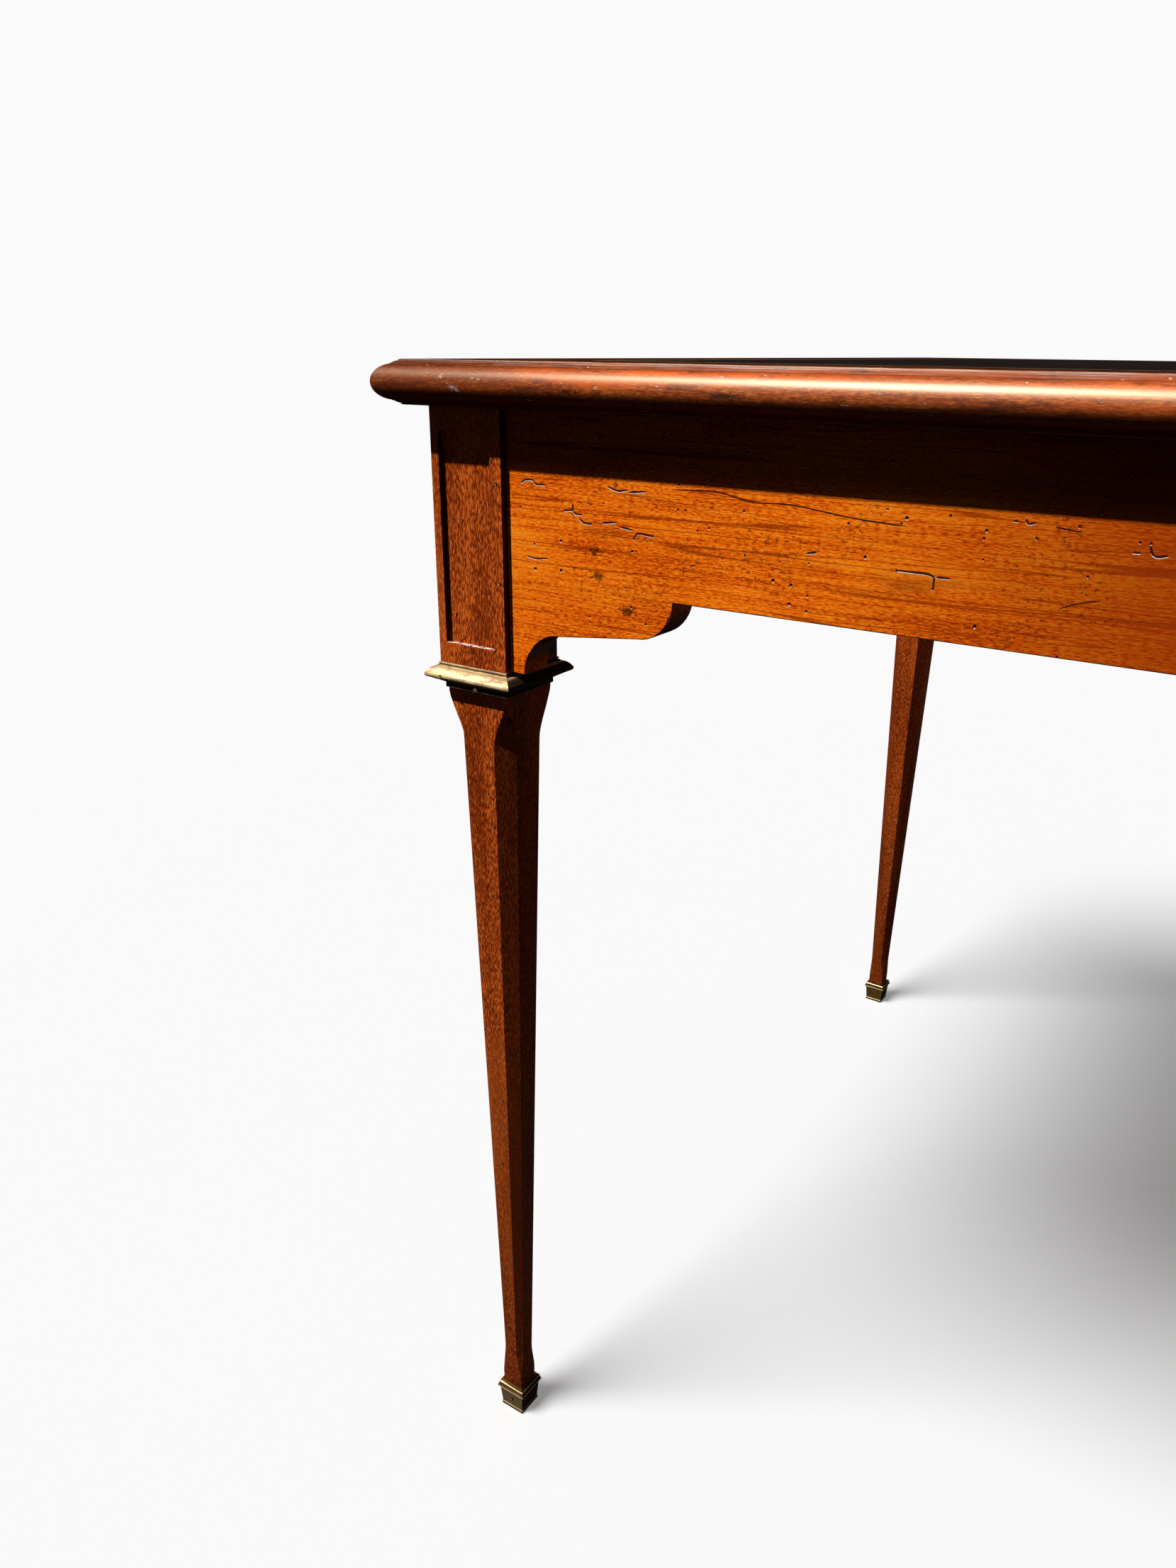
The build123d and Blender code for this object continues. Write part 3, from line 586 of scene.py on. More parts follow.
def moulding_lines(wood, woods, inset, across, streak, step):
    """Layers for the moulded edge: its dark step, its grooves in painted shade, its lit arrises, and its
    film of dust and painted sky reflection.
    """
    low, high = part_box("top_rail_front")
    upper = across > (low.z + high.z) / 2
    grooves = wood.most(*[wood.line(inset, at, 0.0005, 0.0002) for at in EDGE_GROOVES])
    arrises = wood.most(*[wood.line(inset, at, 0.0006, 0.0002) for at in EDGE_ARRISES])
    arrises = arrises * wood.ease(streak, 0.3, 0.6) * (0.3 + upper * 0.7)
    film = wood.band(inset, *EDGE_FILM) * wood.ease(streak, 0.35, 0.6) * upper
    return [
        # The dark step with painted shade in the grooves; painted highlights on the arrises; a pale film
        # of dust and painted sky reflection.
        (wood.most(step, grooves * 0.9), woods.edge_dark),
        (arrises * 0.42, woods.dust_and_highlight),
        (film * 0.07, woods.dust_and_highlight),
    ]


def plain_wood(name, along, shades, roughness):
    """A streaked wood without marks, for the well, the inside and the drawers."""
    wood = Finish(name)
    grain = along_grain(wood, along)
    tone, hair, streak, fleck = figure(wood, grain)
    grime_and_shade = wood.ease(wood.noise(grain, (14, 30, 30), 4, 0.6), 0.5, 0.75)
    shade = wood.layers(
        wood.ramp(tone, (0.2, 0.5, 0.8), shades),
        (hair * 0.4, shades[0]),
        (grime_and_shade * 0.3, shades[0]),
    )
    height = streak * 0.4 + fleck * 0.5 - hair * 0.3
    roughness = roughness + fleck * 0.15 + grime_and_shade * 0.08
    return wood.waxed(shade, roughness, height, depth=0.0002, wax=0.12, wax_roughness=0.5)


def inlaid_wood(name, ground, shadow):
    """An inlaid point: one close-grained wood with long pores and hand rubbing."""
    wood = Finish(name)
    place = wood.place()
    streak = wood.noise(place, (900, 14, 900), 3, 0.6)
    cloud = wood.noise(place, (60, 18, 0), 3)
    pore = wood.ease(wood.noise(place, (1800, 120, 0), 1), 0.64, 0.74)
    tone = wood.spread(streak, 0.3, 0.7) * 0.4 + wood.spread(cloud, 0.3, 0.7) * 0.3
    shade = wood.layers(ground, (tone, shadow), (pore * 0.6, shadow))
    height = streak * 0.4 - pore
    return wood.waxed(shade, 0.32 + cloud * 0.2, height, depth=0.00015, wax=0.5, wax_roughness=0.25)


def groove_finish(name, ground, other):
    """The bottom or the lip of a worm track: broken fibres of two colours; on the lip, a pale painted
    highlight.
    """
    wood = Finish(name)
    fibre = wood.noise(wood.place(), (900, 900, 2600), 3, 0.6)
    shade = wood.layers(ground, (wood.spread(fibre, 0.4, 0.66) * 0.75, other))
    return wood.waxed(shade, 0.5 + fibre * 0.3, fibre, depth=0.0002, wax=0.1)


def tarnished_brass(trim):
    """The collars: pale brass with grey streaks and scratches, with painted shade on the inner and lower
    sides, in the hollow under the nose and in the quirk.
    """
    brass = Finish("tarnished brass")
    x, y, z = brass.place()
    around = (x + y, z, x - y)
    low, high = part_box("collar_front_left")
    share = (z - low.z) / (high.z - low.z)
    streak = brass.noise(around, (60, 620, 60), 4, 0.65)
    cloud = brass.noise(around, (110, 160, 110), 3, 0.6)
    spots = brass.ease(brass.noise(around, (700, 900, 700), 2), 0.62, 0.72)
    scratch = brass.noise(around, (120, 3000, 0), 2)
    grey = brass.ease(streak + cloud * 0.7, 0.78, 0.98)
    # Painted shade in the hollow under the nose (less at the flange's lowest edge), in the quirk, and on
    # the inward and downward faces.
    hollow = brass.ease(share, 0.46, 0.38) * (1 - brass.line(share, 0.015, 0.03, 0.01) * 0.5)
    quirk = brass.line(share, 0.912, 0.03, 0.01) * 0.8
    inside = brass.ease(inward(brass, "x"), 0.3, 0.6)
    below = brass.ease(brass.facing()[2], -0.05, -0.5) * 0.85
    dull_and_shaded = brass.most(inside, hollow, quirk, below)
    shade = brass.layers(
        trim.brass, (grey * 0.6, trim.tarnish), (spots * 0.5, trim.patina), (dull_and_shaded * 0.95, trim.grime_and_shade))
    return brass.surface(
        Base_Color=shade,
        Metallic=0.65 - dull_and_shaded * 0.6,
        Roughness=0.4 + streak * 0.16 + grey * 0.16 + dull_and_shaded * 0.2,
        Normal=brass.bump(scratch * 0.3 + cloud * 0.4 - spots * 0.6, 0.00018, 0.6),
        Specular_IOR_Level=0.0,
    )


# Mouldings of the feet that are rubbed bright: metres above the floor, and the softness of the shine.
FOOT_MOULDINGS = ((0.0188, 0.0009, 0.0004), (0.0227, 0.0006, 0.0003), (0.0024, 0.0007, 0.0003))
# Heights in metres: the dark neck below the upper moulding, and the dark sole.
FOOT_NECK = (0.0172, 0.018)
FOOT_SOLE = (0.0021, 0.0017)


def antique_brass(trim):
    """The feet: olive patina that is rubbed bright on the mouldings."""
    brass = Finish("antique brass")
    place = brass.place()
    z = place[2]
    cloud = brass.noise(place, (160, 160, 220), 4, 0.6)
    fine = brass.noise(place, (1500, 1500, 1500), 2)
    proud = brass.most(*[brass.line(z, *moulding) for moulding in FOOT_MOULDINGS])
    rubbed = proud * brass.ease(cloud, 0.28, 0.45)
    # Painted shade on the feet's inner sides; darker also at the sole.
    inside = brass.ease(inward(brass, "x"), 0.3, 0.6) * (1 - rubbed * 0.1)
    dull_and_shaded = brass.most(inside * 0.95, brass.ease(z, *FOOT_SOLE) * 0.7)
    shade = brass.layers(
        trim.patina,
        (brass.ease(cloud, 0.45, 0.7) * 0.2, trim.tarnish),
        (brass.ease(z, *FOOT_NECK) * 0.5, trim.grime_and_shade),
        (rubbed * 0.85, trim.brass),
        (dull_and_shaded, trim.grime_and_shade),
    )
    return brass.surface(
        Base_Color=shade,
        Metallic=0.55 + rubbed * 0.4 - dull_and_shaded * 0.5,
        Roughness=0.42 + fine * 0.12 - rubbed * 0.12,
        Normal=brass.bump(cloud * 0.5 + fine * 0.2, 0.0002, 0.6),
        Specular_IOR_Level=0.0,
    )


# Metres above the floor: small brass below this belongs to the feet, and is dull.
FEET_TOP = 0.1


def small_brass(trim):
    """Nails, pegs and knobs: handled brass, dull in patches and at the feet."""
    brass = Finish("small brass")
    place = brass.place()
    cloud = brass.noise(place, (420, 420, 420), 4, 0.6)
    fine = brass.noise(place, (2400, 2400, 2400), 2)
    low = brass.ease(place[2], FEET_TOP, FEET_TOP - 0.01)
    shade = brass.layers(trim.brass, (brass.ease(cloud, 0.4, 0.62), trim.patina), (low, trim.patina))
    return brass.surface(
        Base_Color=shade,
        Metallic=1.0,
        Roughness=0.3 + cloud * 0.2,
        Normal=brass.bump(cloud * 0.6 + fine * 0.3, 0.00015, 0.6),
    )


RUBBED_LEATHER = tint(44, 33, 28)


def glossy_leather(trim):
    """The top's leather: dark, pebbled and polished, with two tooled lines round its edge."""
    leather = Finish("glossy leather")
    place = leather.place()
    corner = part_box("top_leather")[1]
    pebble = leather.node("ShaderNodeTexVoronoi", {"feature": "SMOOTH_F1"}, {
        "Vector": leather.vector(*place), "Scale": 1100.0, "Smoothness": 0.4})
    crease = leather.noise(place, (90, 90, 90), 5, 0.65)
    rub = leather.noise(place, (7, 7, 0), 4, 0.6)
    to_edge = leather.maths("MINIMUM", corner.x - abs(place[0]), corner.y - abs(place[1]))
    outer = leather.line(to_edge, trim.tooling_inset, 0.0011, 0.0008)
    inner = leather.line(to_edge, trim.tooling_inset + 0.005, 0.0006, 0.0004)
    gilt = leather.most(outer, inner) * leather.ease(crease, 0.34, 0.46)
    rubbed = leather.spread(rub, 0.35, 0.7) * 0.35
    shade = leather.layers(trim.leather, (rubbed, RUBBED_LEATHER), (gilt * 0.85, trim.gilding))
    return leather.surface(
        Base_Color=shade,
        Roughness=0.3 + leather.spread(rub, 0.3, 0.7) * 0.14 + gilt * 0.1,
        Metallic=gilt * 0.7,
        Normal=leather.bump(pebble * 0.5 + crease * 0.5 - outer * 1.2 - inner, 0.00016, 0.5),
        Specular_IOR_Level=0.0,
        Coat_Weight=leather.polish(0.5),
        Coat_Roughness=0.2,
    )


NAP_SHADOW = tint(12, 44, 24)
WORN_BAIZE = tint(58, 104, 66)


def felted_baize(trim):
    """The baize under the top: matted wool with a soft nap."""
    baize = Finish("felted baize")
    place = baize.place()
    nap = baize.noise(place, (1800, 1800, 1800), 3, 0.7, 0.6)
    pile = baize.noise(place, (260, 260, 260), 4, 0.6)
    wear = baize.ease(baize.noise(place, (6, 6, 0), 3), 0.45, 0.7)
    shadow = baize.spread(nap, 0.25, 0.75) * 0.5
    worn = wear * 0.3 + baize.spread(pile, 0.4, 0.8) * 0.2
    shade = baize.layers(trim.baize, (shadow, NAP_SHADOW), (worn, WORN_BAIZE))
    return baize.surface(
        Base_Color=shade,
        Roughness=0.95,
        Normal=baize.bump(nap + pile * 0.6, 0.0005, 0.8),
        Specular_IOR_Level=0.1,
        Sheen_Weight=0.4,
        Sheen_Roughness=0.5,
    )


def named(*starts):
    """The carried-over parts whose names begin in one of these ways."""
    found = [name for name in sorted(nodes) if name.startswith(starts)]
    if not found:
        raise RuntimeError("no part is named " + " or ".join(starts))
    return found


def dress(names, material, edge=0.0):
    """Gives parts their material, and rounds their edges by a width."""
    for name in names:
        part = nodes[name]
        part.data.materials.clear()
        part.data.materials.append(material)
        if edge:
            round_edges(part, edge)


def round_edges(part, width):
    """Rounds a part's sharp edges and shades the rest of it smooth."""
    normals = part.data.attributes.get("custom_normal")
    if normals:
        part.data.attributes.remove(normals)
    part.data.shade_smooth()
    weld = part.modifiers.new("weld", "WELD")
    weld.merge_threshold = 0.000002
    bevel = part.modifiers.new("edges", "BEVEL")
    bevel.width = width
    bevel.segments = 2
    bevel.limit_method = "ANGLE"
    bevel.angle_limit = math.radians(32)
    bevel.use_clamp_overlap = False
    bevel.harden_normals = True
    bevel.miter_outer = "MITER_ARC"


def make_piece(name, mesh, *materials):
    """A piece of its own from a finished mesh, which is used up."""
    body = bpy.data.meshes.new(name)
    mesh.to_mesh(body)
    mesh.free()
    for material in materials:
        body.materials.append(material)
    piece = bpy.data.objects.new(name, body)
    bpy.context.scene.collection.objects.link(piece)
    return piece


def side_of(name):
    """Which way the grain of a frame's member runs."""
    return "y" if name.endswith(("_left", "_right")) else "x"


class TRICTRAC_OT_aprons(bpy.types.Operator):
    """Finish the aprons and the drawer faces in worm-eaten waxed cherry"""

    bl_idname = "tric_trac.aprons"
    bl_label = "Aprons"

    def execute(self, context):
        woods = context.scene.tric_trac_woods
        for along in "xy":
            names = [name for name in named("apron_") if side_of(name) == along]
            dress(names, waxed_cherry("waxed cherry " + along, along, woods), 0.0007)
        faces = [name for name in nodes if name.endswith("drawer_face")]
        dress(faces, bpy.data.materials["waxed cherry x"], 0.0005)
        return {"FINISHED"}


# Worm tracks of the front apron: millimetres from the left post's outer face, and above the floor.
TRACKS = (
    ((58, 686), (61, 688), (66, 688), (67, 686), (74, 686)),
    ((112, 688), (118, 686), (124, 687)),
    ((125, 686), (135, 687)),
    ((85, 674), (91, 675), (92, 673), (97, 673)),
    ((91, 678), (91, 675)),
    ((95, 671), (98, 669), (103, 669)),
    ((109, 670), (118, 671)),
    ((120, 669), (127, 668)),
    ((128, 664), (130, 667), (140, 666)),
    ((61, 649), (67, 648), (75, 649)),
    ((221, 666), (226, 667)),
    ((264, 663), (270, 663), (278, 663), (281, 662), (281, 657)),
    ((282, 662), (288, 662)),
    ((311, 688), (313, 688)),
    ((316, 689), (317, 687), (320, 688)),
    ((358, 680), (361, 680)),
    ((364, 683), (365, 680), (367, 679), (371, 680)),
)
SPLITS = (
    ((150, 689), (174, 690), (193, 686), (210, 687), (228, 685), (244, 683), (266, 682)),
    ((328, 687), (336, 686), (338, 686)),
    ((334, 655), (341, 658), (349, 660)),
)
HOLES = (
    (264, 663), (281, 657), (264, 683), (285, 688), (300, 680), (321, 682), (337, 688), (360, 684),
    (364, 684), (343, 669), (128, 664), (153, 680), (157, 680), (164, 671), (190, 662), (240, 681),
)


# How far along each stretch of a track its corners are cut.
CORNER_CUT = 0.2


class TRICTRAC_OT_worm_tracks(bpy.types.Operator):
    """Lay the long worm tracks, splits and exit holes near the end of the front apron"""

    bl_idname = "tric_trac.worm_tracks"
    bl_label = "Worm tracks"

    def execute(self, context):
        woods = context.scene.tric_trac_woods
        self.chance = random.Random(31)
        self.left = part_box("leg_front_left")[0].x
        self.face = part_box("apron_front")[0].y
        dark, lips = bmesh.new(), bmesh.new()
        for track in TRACKS:
            self.ribbon(dark, track, width=0.0009, proud=0.00006)
            self.ribbon(lips, track, width=0.00046, proud=0.00004, drop=0.00062)
        for split in SPLITS:
            self.ribbon(dark, split, width=0.00055, proud=0.00006)
        for hole in HOLES:
            self.disc(dark, hole, radius=0.0006, proud=0.00007)
            self.disc(lips, hole, radius=0.00034, proud=0.00004, drop=0.0006)
        self.lay("worm_tracks", dark, groove_finish("worm groove", woods.worm, woods.leg_dark))
        # The lips are pale strips just below the tracks and holes: painted highlights.
        self.lay("track_lips", lips, groove_finish("track lip", woods.dust_and_highlight, woods.apron_light))
        return {"FINISHED"}

    def spot(self, mark, drop):
        """A mark's place on the apron's face, or a little below it."""
        return Vector((self.left + mark[0] * MILLIMETRE, self.face, mark[1] * MILLIMETRE - drop))

    def ribbon(self, mesh, marks, width, proud, drop=0.0):
        """A thin wavering strip along a track, with its corners rounded and its ends drawn out."""
        points = [self.spot(mark, drop) for mark in marks]
        inner = []
        for here, there in zip(points, points[1:]):
            inner += [here.lerp(there, CORNER_CUT), there.lerp(here, CORNER_CUT)]
        points = [points[0], *inner, points[-1]]
        last = len(points) - 1
        sides = []
        for step, point in enumerate(points):
            ahead = (points[min(step + 1, last)] - points[max(step - 1, 0)]).normalized()
            across = Vector((-ahead.z, 0.0, ahead.x))
            taper = 0.4 if step in (0, last) else 1.0
            half = across * width / 2 * taper * self.chance.uniform(0.75, 1.25)
            lift = Vector((0.0, -proud, 0.0))
            sides.append((mesh.verts.new(point + half + lift), mesh.verts.new(point - half + lift)))
        for (above, below), (next_above, next_below) in zip(sides, sides[1:]):
            mesh.faces.new((above, below, next_below, next_above))

    def disc(self, mesh, mark, radius, proud, drop=0.0, corners=12):
        """A slightly ragged round spot."""
        middle = self.spot(mark, drop) - Vector((0.0, proud, 0.0))
        rim = []
        for step in range(corners):
            angle = 2 * math.pi * step / corners
            reach = radius * self.chance.uniform(0.8, 1.15)
            corner = Vector((math.cos(angle) * reach, 0.0, math.sin(angle) * reach))
            rim.append(mesh.verts.new(middle + corner))
        mesh.faces.new(rim)

    def lay(self, name, mesh, material):
        """Turns the strips into thin solid inlays, in a piece that rides on the table's frame."""
        for face in mesh.faces:
            face.normal_update()
            if face.normal.y > 0:
                face.normal_flip()
        bmesh.ops.solidify(mesh, geom=mesh.faces[:], thickness=0.0001)
        piece = make_piece(name, mesh, material)
        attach(piece, "carcass")


class TRICTRAC_OT_legs(bpy.types.Operator):
    """Finish the posts and legs in flecked red-brown wood"""

    bl_idname = "tric_trac.legs"
    bl_label = "Legs"

    def execute(self, context):
        dress(named("leg_"), flecked_leg(context.scene.tric_trac_woods), 0.0004)
        return {"FINISHED"}


class TRICTRAC_OT_top(bpy.types.Operator):
    """Finish the lift-off top: moulded edge, leather above, baize below"""

    bl_idname = "tric_trac.top"
    bl_label = "Top"

    def execute(self, context):
        woods = context.scene.tric_trac_woods
        trim = context.scene.tric_trac_trim
        for along in "xy":
            names = [name for name in named("top_rail_") if side_of(name) == along]
            edge = polished_edge("polished edge " + along, along, woods)
            dress(names, edge, 0.00012)
        inside = inner_wood("inner wood x", "x", woods)
        dress(named("top_core", "mitre_keys"), inside)
        dress(["top_leather"], glossy_leather(trim))
        dress(["top_baize"], felted_baize(trim))
        return {"FINISHED"}


# Sections of the two slips in the steps of the top's edge: millimetres in from its outer face, and
# above the floor.
SLIPS = (
    ((6.9, 742.2), (7.2, 742.5), (7.9, 743.0), (8.7, 743.5), (9.5, 743.95), (10.1, 744.1), (10.5, 744.2),
     (10.8, 744.6), (11.3, 744.9), (11.3, 742.2)),
    ((11.3, 725.3), (11.3, 723.2), (10.7, 723.3), (10.0, 723.6), (9.2, 724.0), (8.4, 724.5), (7.6, 724.8),
     (6.9, 725.3)),
)
# The top's four corners in their order round it, as signs of x and y.
CORNERS = ((-1, -1), (1, -1), (1, 1), (-1, 1))


class TRICTRAC_OT_edge_slips(bpy.types.Operator):
    """Bed thin moulded slips in the two steps of the top's edge"""

    bl_idname = "tric_trac.edge_slips"
    bl_label = "Edge slips"

    def execute(self, context):
        reach = Vector((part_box("top_rail_right")[1].x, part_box("top_rail_back")[1].y))
        mesh = bmesh.new()
        for section in SLIPS:
            rings = [self.ring(mesh, section, reach, *corner) for corner in CORNERS]
            for side, (here, there) in enumerate(zip(rings, rings[1:] + rings[:1])):
                for step in range(len(section)):
                    after = (step + 1) % len(section)
                    face = mesh.faces.new((here[step], here[after], there[after], there[step]))
                    face.material_index = side % 2
        bmesh.ops.recalc_face_normals(mesh, faces=mesh.faces)
        edges = [bpy.data.materials["polished edge " + along] for along in "xy"]
        slips = make_piece("edge_slips", mesh, *edges)
        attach(slips, "top")
        return {"FINISHED"}

    def ring(self, mesh, section, reach, sign_x, sign_y):
        """One section at a corner of the top."""
        ring = []
        for inset, up in section:
            x = sign_x * (reach.x - inset * MILLIMETRE)
            y = sign_y * (reach.y - inset * MILLIMETRE)
            ring.append(mesh.verts.new((x, y, up * MILLIMETRE)))
        return ring


def inner_wood(name, along, woods):
    """The plain wood of the hidden and inner parts."""
    return plain_wood(name, along, tones(woods, "inside"), 0.6)


class TRICTRAC_OT_brass(bpy.types.Operator):
    """Finish the collars, feet and pegs in aged brass"""

    bl_idname = "tric_trac.brass"
    bl_label = "Brass"

    def execute(self, context):
        trim = context.scene.tric_trac_trim
        dress(named("collar_"), tarnished_brass(trim), 0.0002)
        dress(named("sabot_"), antique_brass(trim), 0.00025)
        knobs = [name for name in nodes if name.endswith("drawer_knob")]
        dress(named("locating_pegs", "mount_pins") + knobs, small_brass(trim), 0.0002)
        return {"FINISHED"}


class TRICTRAC_OT_nails(bpy.types.Operator):
    """Set round nail heads on the pins of the collars"""

    bl_idname = "tric_trac.nails"
    bl_label = "Nail heads"

    def execute(self, context):
        chance = random.Random(7)
        mesh = bmesh.new()
        for place, away in self.pin_ends():
            if place.z < FEET_TOP:
                continue
            turn = away.to_track_quat("Z", "Y").to_matrix().to_4x4()
            tilt = Matrix.Rotation(chance.uniform(-0.12, 0.12), 4, "X")
            size = chance.uniform(0.92, 1.08)
            flat = Matrix.Diagonal((size, size, 0.42, 1.0))
            made = bmesh.ops.create_uvsphere(mesh, u_segments=16, v_segments=10, radius=0.00135)
            bmesh.ops.transform(
                mesh, matrix=Matrix.Translation(place) @ turn @ tilt @ flat, verts=made["verts"])
        heads = make_piece("nail_heads", mesh, bpy.data.materials["small brass"])
        heads.data.shade_smooth()
        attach(heads, "carcass")
        return {"FINISHED"}

    def pin_ends(self):
        """The middle of each pin's outer end, and the way that it faces."""
        mesh = bmesh.new()
        mesh.from_mesh(nodes["mount_pins"].data)
        bmesh.ops.remove_doubles(mesh, verts=mesh.verts, dist=0.000002)
        left = set(mesh.verts)
        ends = []
        while left:
            island, edge = set(), [left.pop()]
            while edge:
                vertex = edge.pop()
                island.add(vertex)
                for link in vertex.link_edges:
                    other = link.other_vert(vertex)
                    if other in left:
                        left.remove(other)
                        edge.append(other)
            ends.append(self.outer_end([vertex.co.copy() for vertex in island]))
        mesh.free()
        return ends

    def outer_end(self, corners):
        """One pin's outer end, from its corners."""
        low = Vector(min(c[i] for c in corners) for i in range(3))
        high = Vector(max(c[i] for c in corners) for i in range(3))
        size = high - low
        axis = 0 if size.x > size.y else 1
        middle = (low + high) / 2
        sign = 1 if middle[axis] > 0 else -1
        away = Vector((0.0, 0.0, 0.0))
        away[axis] = sign
        middle[axis] = high[axis] if sign > 0 else low[axis]
        return middle, away


class TRICTRAC_OT_well(bpy.types.Operator):
    """Finish the playing well, its inlaid points and the end bays"""

    bl_idname = "tric_trac.well"
    bl_label = "Playing well"

    def execute(self, context):
        woods = context.scene.tric_trac_woods
        for along in "xy":
            plain_wood("well wood " + along, along, tones(woods, "field"), 0.38)
        dress(named("well_rail_", "playing_board"), bpy.data.materials["well wood x"], 0.0004)
        dress(named("centre_bar", "partition_"), bpy.data.materials["well wood y"], 0.0005)
        dress(["points_light"], inlaid_wood("light inlay", woods.holly, woods.inside_dark))
        dress(["points_dark"], inlaid_wood("dark inlay", woods.ebony, woods.worm))
        across = inner_wood("inner wood y", "y", woods)
        dress(named("runner_", "drawer_stops", "trough_board_"), across, 0.0003)
        dress(named("bay_"), bpy.data.materials["inner wood x"], 0.0003)
        return {"FINISHED"}


class TRICTRAC_OT_drawers(bpy.types.Operator):
    """Finish the drawers' sides, backs and bottoms"""

    bl_idname = "tric_trac.drawers"
    bl_label = "Drawers"

    def execute(self, context):
        for name in named("front_drawer_", "back_drawer_"):
            if name.endswith(("_face", "_knob")):
                continue
            along = "x" if name.endswith("_back") else "y"
            dress([name], bpy.data.materials["inner wood " + along], 0.0003)
        return {"FINISHED"}


# The ways that the far lamps shine, and the glint's warm colour.
KEY_WAY = (0.7, 1.0, -1.6)
BACK_WAY = (-0.12, -1.0, -0.7)
UNDER_WAY = (0.3, 0.4, 1.0)
FLOOR_WAY = (0.58, 0.88, -1.6)
GLINT_COLOUR = tint(255, 221, 184)


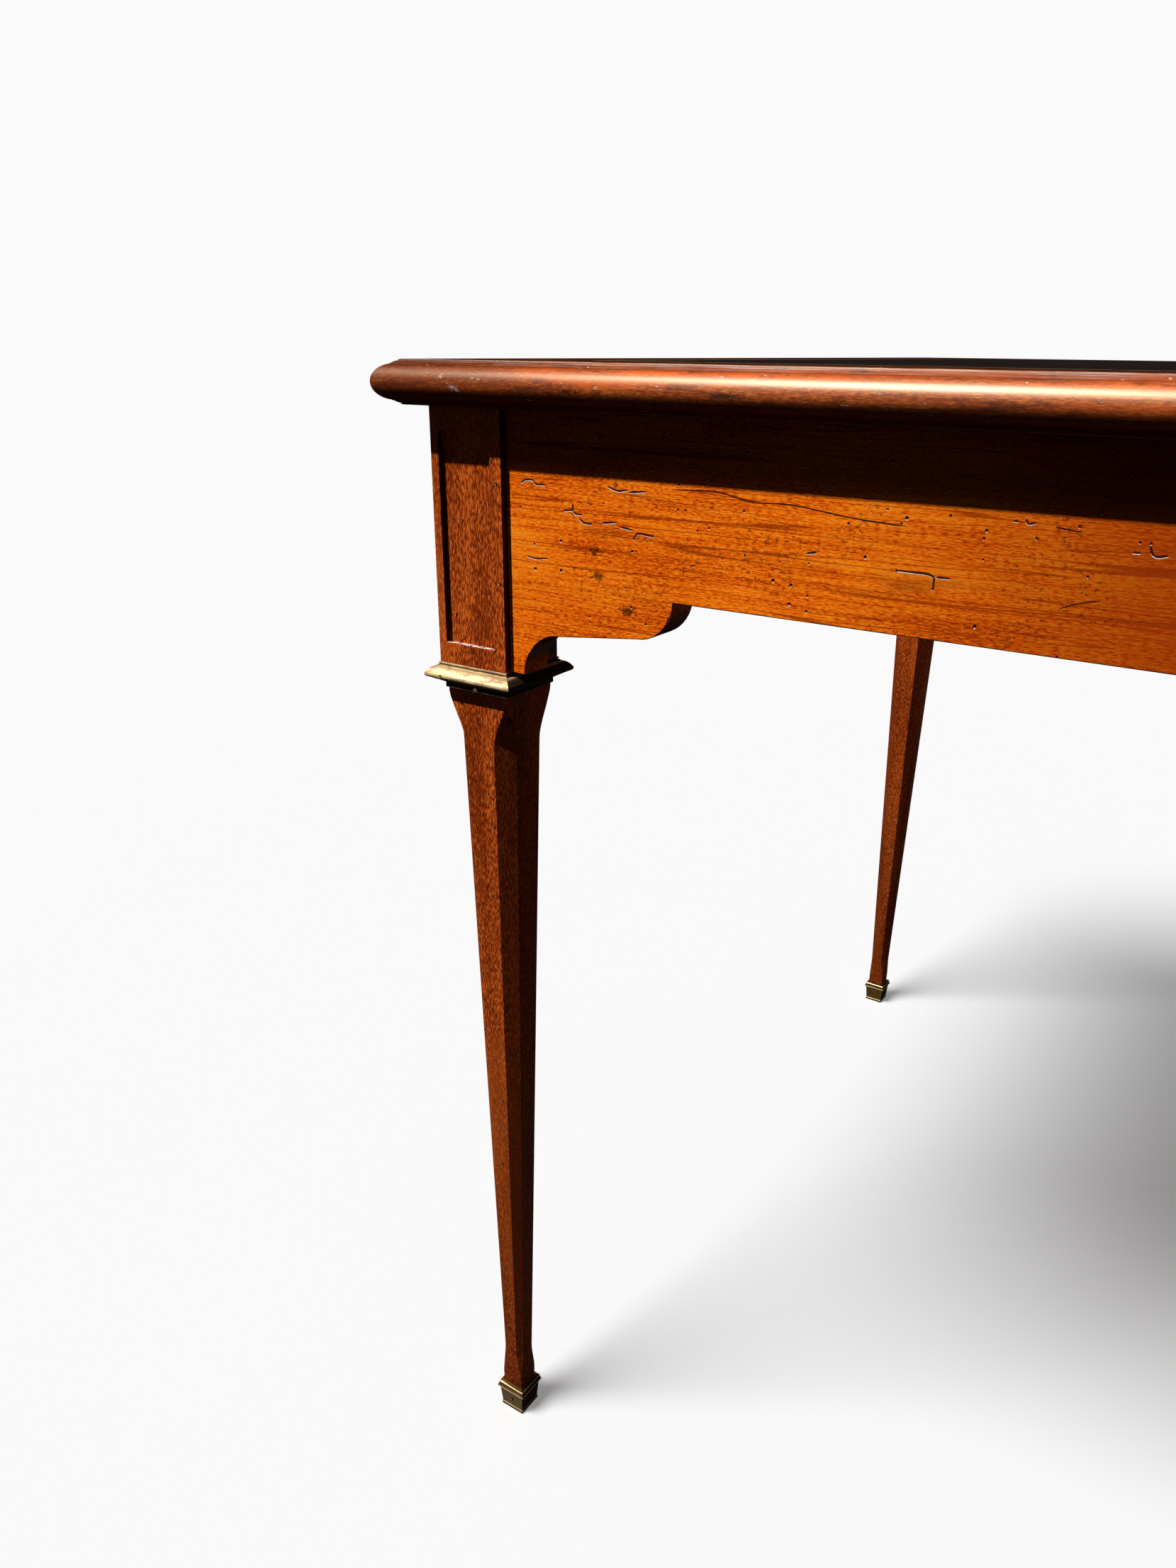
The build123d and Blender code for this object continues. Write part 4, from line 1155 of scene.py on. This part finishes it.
class TRICTRAC_OT_stage(bpy.types.Operator):
    """Lay the floor, set the lamps and the world, and place the camera"""

    bl_idname = "tric_trac.stage"
    bl_label = "Stage"

    def execute(self, context):
        stage = context.scene.tric_trac_stage
        context.scene.view_settings.view_transform = "Standard"
        self.lay_floor(stage)
        self.light_world(context, stage)
        table = self.group("lit by the key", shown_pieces())
        floor = self.group("lit from above", [bpy.data.objects["floor"]])
        rails = [nodes[name] for name in named("top_rail_")]
        edges = self.group("lit by the glint", rails + [bpy.data.objects["edge_slips"]])
        boards = named("top_baize", "top_core", "playing_board", "trough_board_", "bay_deck_")
        undersides = self.group("lit from below", [nodes[name] for name in boards])
        self.lamp("key", stage.key, 1.2, KEY_WAY, table)
        behind = self.lamp("back_light", stage.back, 40.0, BACK_WAY, table)
        behind.visible_glossy = False
        glint = self.lamp("glint", stage.glint, 23.0, KEY_WAY, edges)
        glint.visible_diffuse = False
        glint.data.color = GLINT_COLOUR[:3]
        below = self.lamp("under_light", stage.under, 60.0, UNDER_WAY, undersides)
        below.data.use_shadow = False
        self.lamp("floor_light", stage.sky, 26.0, FLOOR_WAY, floor)
        haze = self.lamp("shadow_light", stage.haze, 26.0, FLOOR_WAY, floor)
        haze.data.use_shadow = False
        self.place_camera(context, stage)
        return {"FINISHED"}

    def group(self, name, pieces):
        """A collection of the pieces that a lamp lights."""
        made = bpy.data.collections.new(name)
        for piece in pieces:
            made.objects.link(piece)
        return made

    def lamp(self, name, strength, spread, towards, receivers):
        """A far lamp that shines one way on some pieces, with its apparent size in degrees."""
        light = bpy.data.lights.new(name, "SUN")
        light.energy = strength
        light.angle = math.radians(spread)
        lamp = bpy.data.objects.new(name, light)
        lamp.rotation_euler = Vector(towards).to_track_quat("-Z", "Y").to_euler()
        lamp.light_linking.receiver_collection = receivers
        bpy.context.scene.collection.objects.link(lamp)
        return lamp

    def lay_floor(self, stage):
        """A pale floor that keeps shadows near the table and fades into the background."""
        mesh = bmesh.new()
        bmesh.ops.create_grid(mesh, x_segments=8, y_segments=8, size=40.0)
        sheet = Finish("pale floor")
        x, y, z = sheet.place()
        far = sheet.ease(sheet.span(x, y), 1.5, 3.4)
        speckle = sheet.spread(sheet.noise((x, y, z), (3, 3, 0), 3), 0.3, 0.7)
        shade = sheet.layers(tint(238, 238, 238), (speckle * 0.02, tint(230, 230, 230)))
        matt = sheet.node("ShaderNodeBsdfDiffuse", sockets={"Color": shade})
        glow = sheet.node("ShaderNodeEmission", sockets={"Color": stage.pale, "Strength": 1.0})
        seen = sheet.node("ShaderNodeLightPath", out="Is Camera Ray")
        both = sheet.node("ShaderNodeMixShader", sockets={0: far * seen, 1: matt, 2: glow})
        under = sheet.node("ShaderNodeNewGeometry", out="Backfacing") * seen
        clear = sheet.node("ShaderNodeBsdfTransparent")
        whole = sheet.node("ShaderNodeMixShader", sockets={0: under, 1: both, 2: clear})
        sheet.node("ShaderNodeOutputMaterial", sockets={"Surface": whole})
        floor = make_piece("floor", mesh, sheet.material)
        floor.visible_diffuse = False
        floor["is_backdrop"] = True

    def light_world(self, context, stage):
        """An even low light all round, behind a pale background."""
        world = bpy.data.worlds.new("studio")
        context.scene.world = world
        studio = Finish(world)
        rays = studio.outputs(studio.node("ShaderNodeLightPath"))
        kinds = ("Is Camera Ray", "Is Glossy Ray", "Is Transmission Ray")
        seen = studio.most(*[rays[kind] for kind in kinds])
        light = {"Color": tint(255, 252, 246), "Strength": stage.fill}
        fill = studio.node("ShaderNodeBackground", sockets=light)
        back = studio.node("ShaderNodeBackground", sockets={"Color": stage.pale, "Strength": 1.0})
        both = studio.node("ShaderNodeMixShader", sockets={0: seen, 1: fill, 2: back})
        studio.node("ShaderNodeOutputWorld", sockets={"Surface": both})

    def place_camera(self, context, stage):
        """The camera of the picture: low over the top, close to the near leg."""
        lens = bpy.data.cameras.new("camera")
        lens.sensor_width = 36.0
        lens.lens = stage.lens
        lens.shift_x = stage.shift_x
        lens.shift_y = stage.shift_y
        lens.clip_start = 0.02
        lens.clip_end = 200.0
        camera = bpy.data.objects.new("camera", lens)
        turn = (
            Matrix.Rotation(stage.heading, 4, "Z")
            @ Matrix.Rotation(math.pi / 2 - stage.pitch, 4, "X")
            @ Matrix.Rotation(stage.roll, 4, "Z")
        )
        camera.matrix_world = Matrix.Translation(stage.eye) @ turn
        context.scene.collection.objects.link(camera)
        context.scene.camera = camera


class TRICTRAC_PT_table(bpy.types.Panel):
    """The table's finishes and stage"""

    bl_idname = "TRICTRAC_PT_table"
    bl_label = "Tric Trac Table"
    bl_space_type = "VIEW_3D"
    bl_region_type = "UI"
    bl_category = "Table"

    def draw(self, context):
        for step in STEPS:
            self.layout.operator(step.bl_idname)
        for group in GROUPS:
            settings = getattr(context.scene, group)
            box = self.layout.box()
            for name in settings.bl_rna.properties.keys():
                if name not in ("rna_type", "name"):
                    box.prop(settings, name)


GROUPS = {
    "tric_trac_woods": TricTracWoods,
    "tric_trac_trim": TricTracTrim,
    "tric_trac_stage": TricTracStage,
}
STEPS = (
    TRICTRAC_OT_aprons,
    TRICTRAC_OT_worm_tracks,
    TRICTRAC_OT_legs,
    TRICTRAC_OT_top,
    TRICTRAC_OT_edge_slips,
    TRICTRAC_OT_brass,
    TRICTRAC_OT_nails,
    TRICTRAC_OT_well,
    TRICTRAC_OT_drawers,
    TRICTRAC_OT_stage,
)


def register():
    for group in GROUPS.values():
        bpy.utils.register_class(group)
    for step in STEPS:
        bpy.utils.register_class(step)
    bpy.utils.register_class(TRICTRAC_PT_table)
    for name, group in GROUPS.items():
        setattr(bpy.types.Scene, name, PointerProperty(type=group))


def unregister():
    for name in GROUPS:
        delattr(bpy.types.Scene, name)
    bpy.utils.unregister_class(TRICTRAC_PT_table)
    for step in reversed(STEPS):
        bpy.utils.unregister_class(step)
    for group in GROUPS.values():
        bpy.utils.unregister_class(group)


def main():
    register()
    for step in STEPS:
        group, name = step.bl_idname.split(".")
        getattr(getattr(bpy.ops, group), name)()


if __name__ == "__main__":
    main()
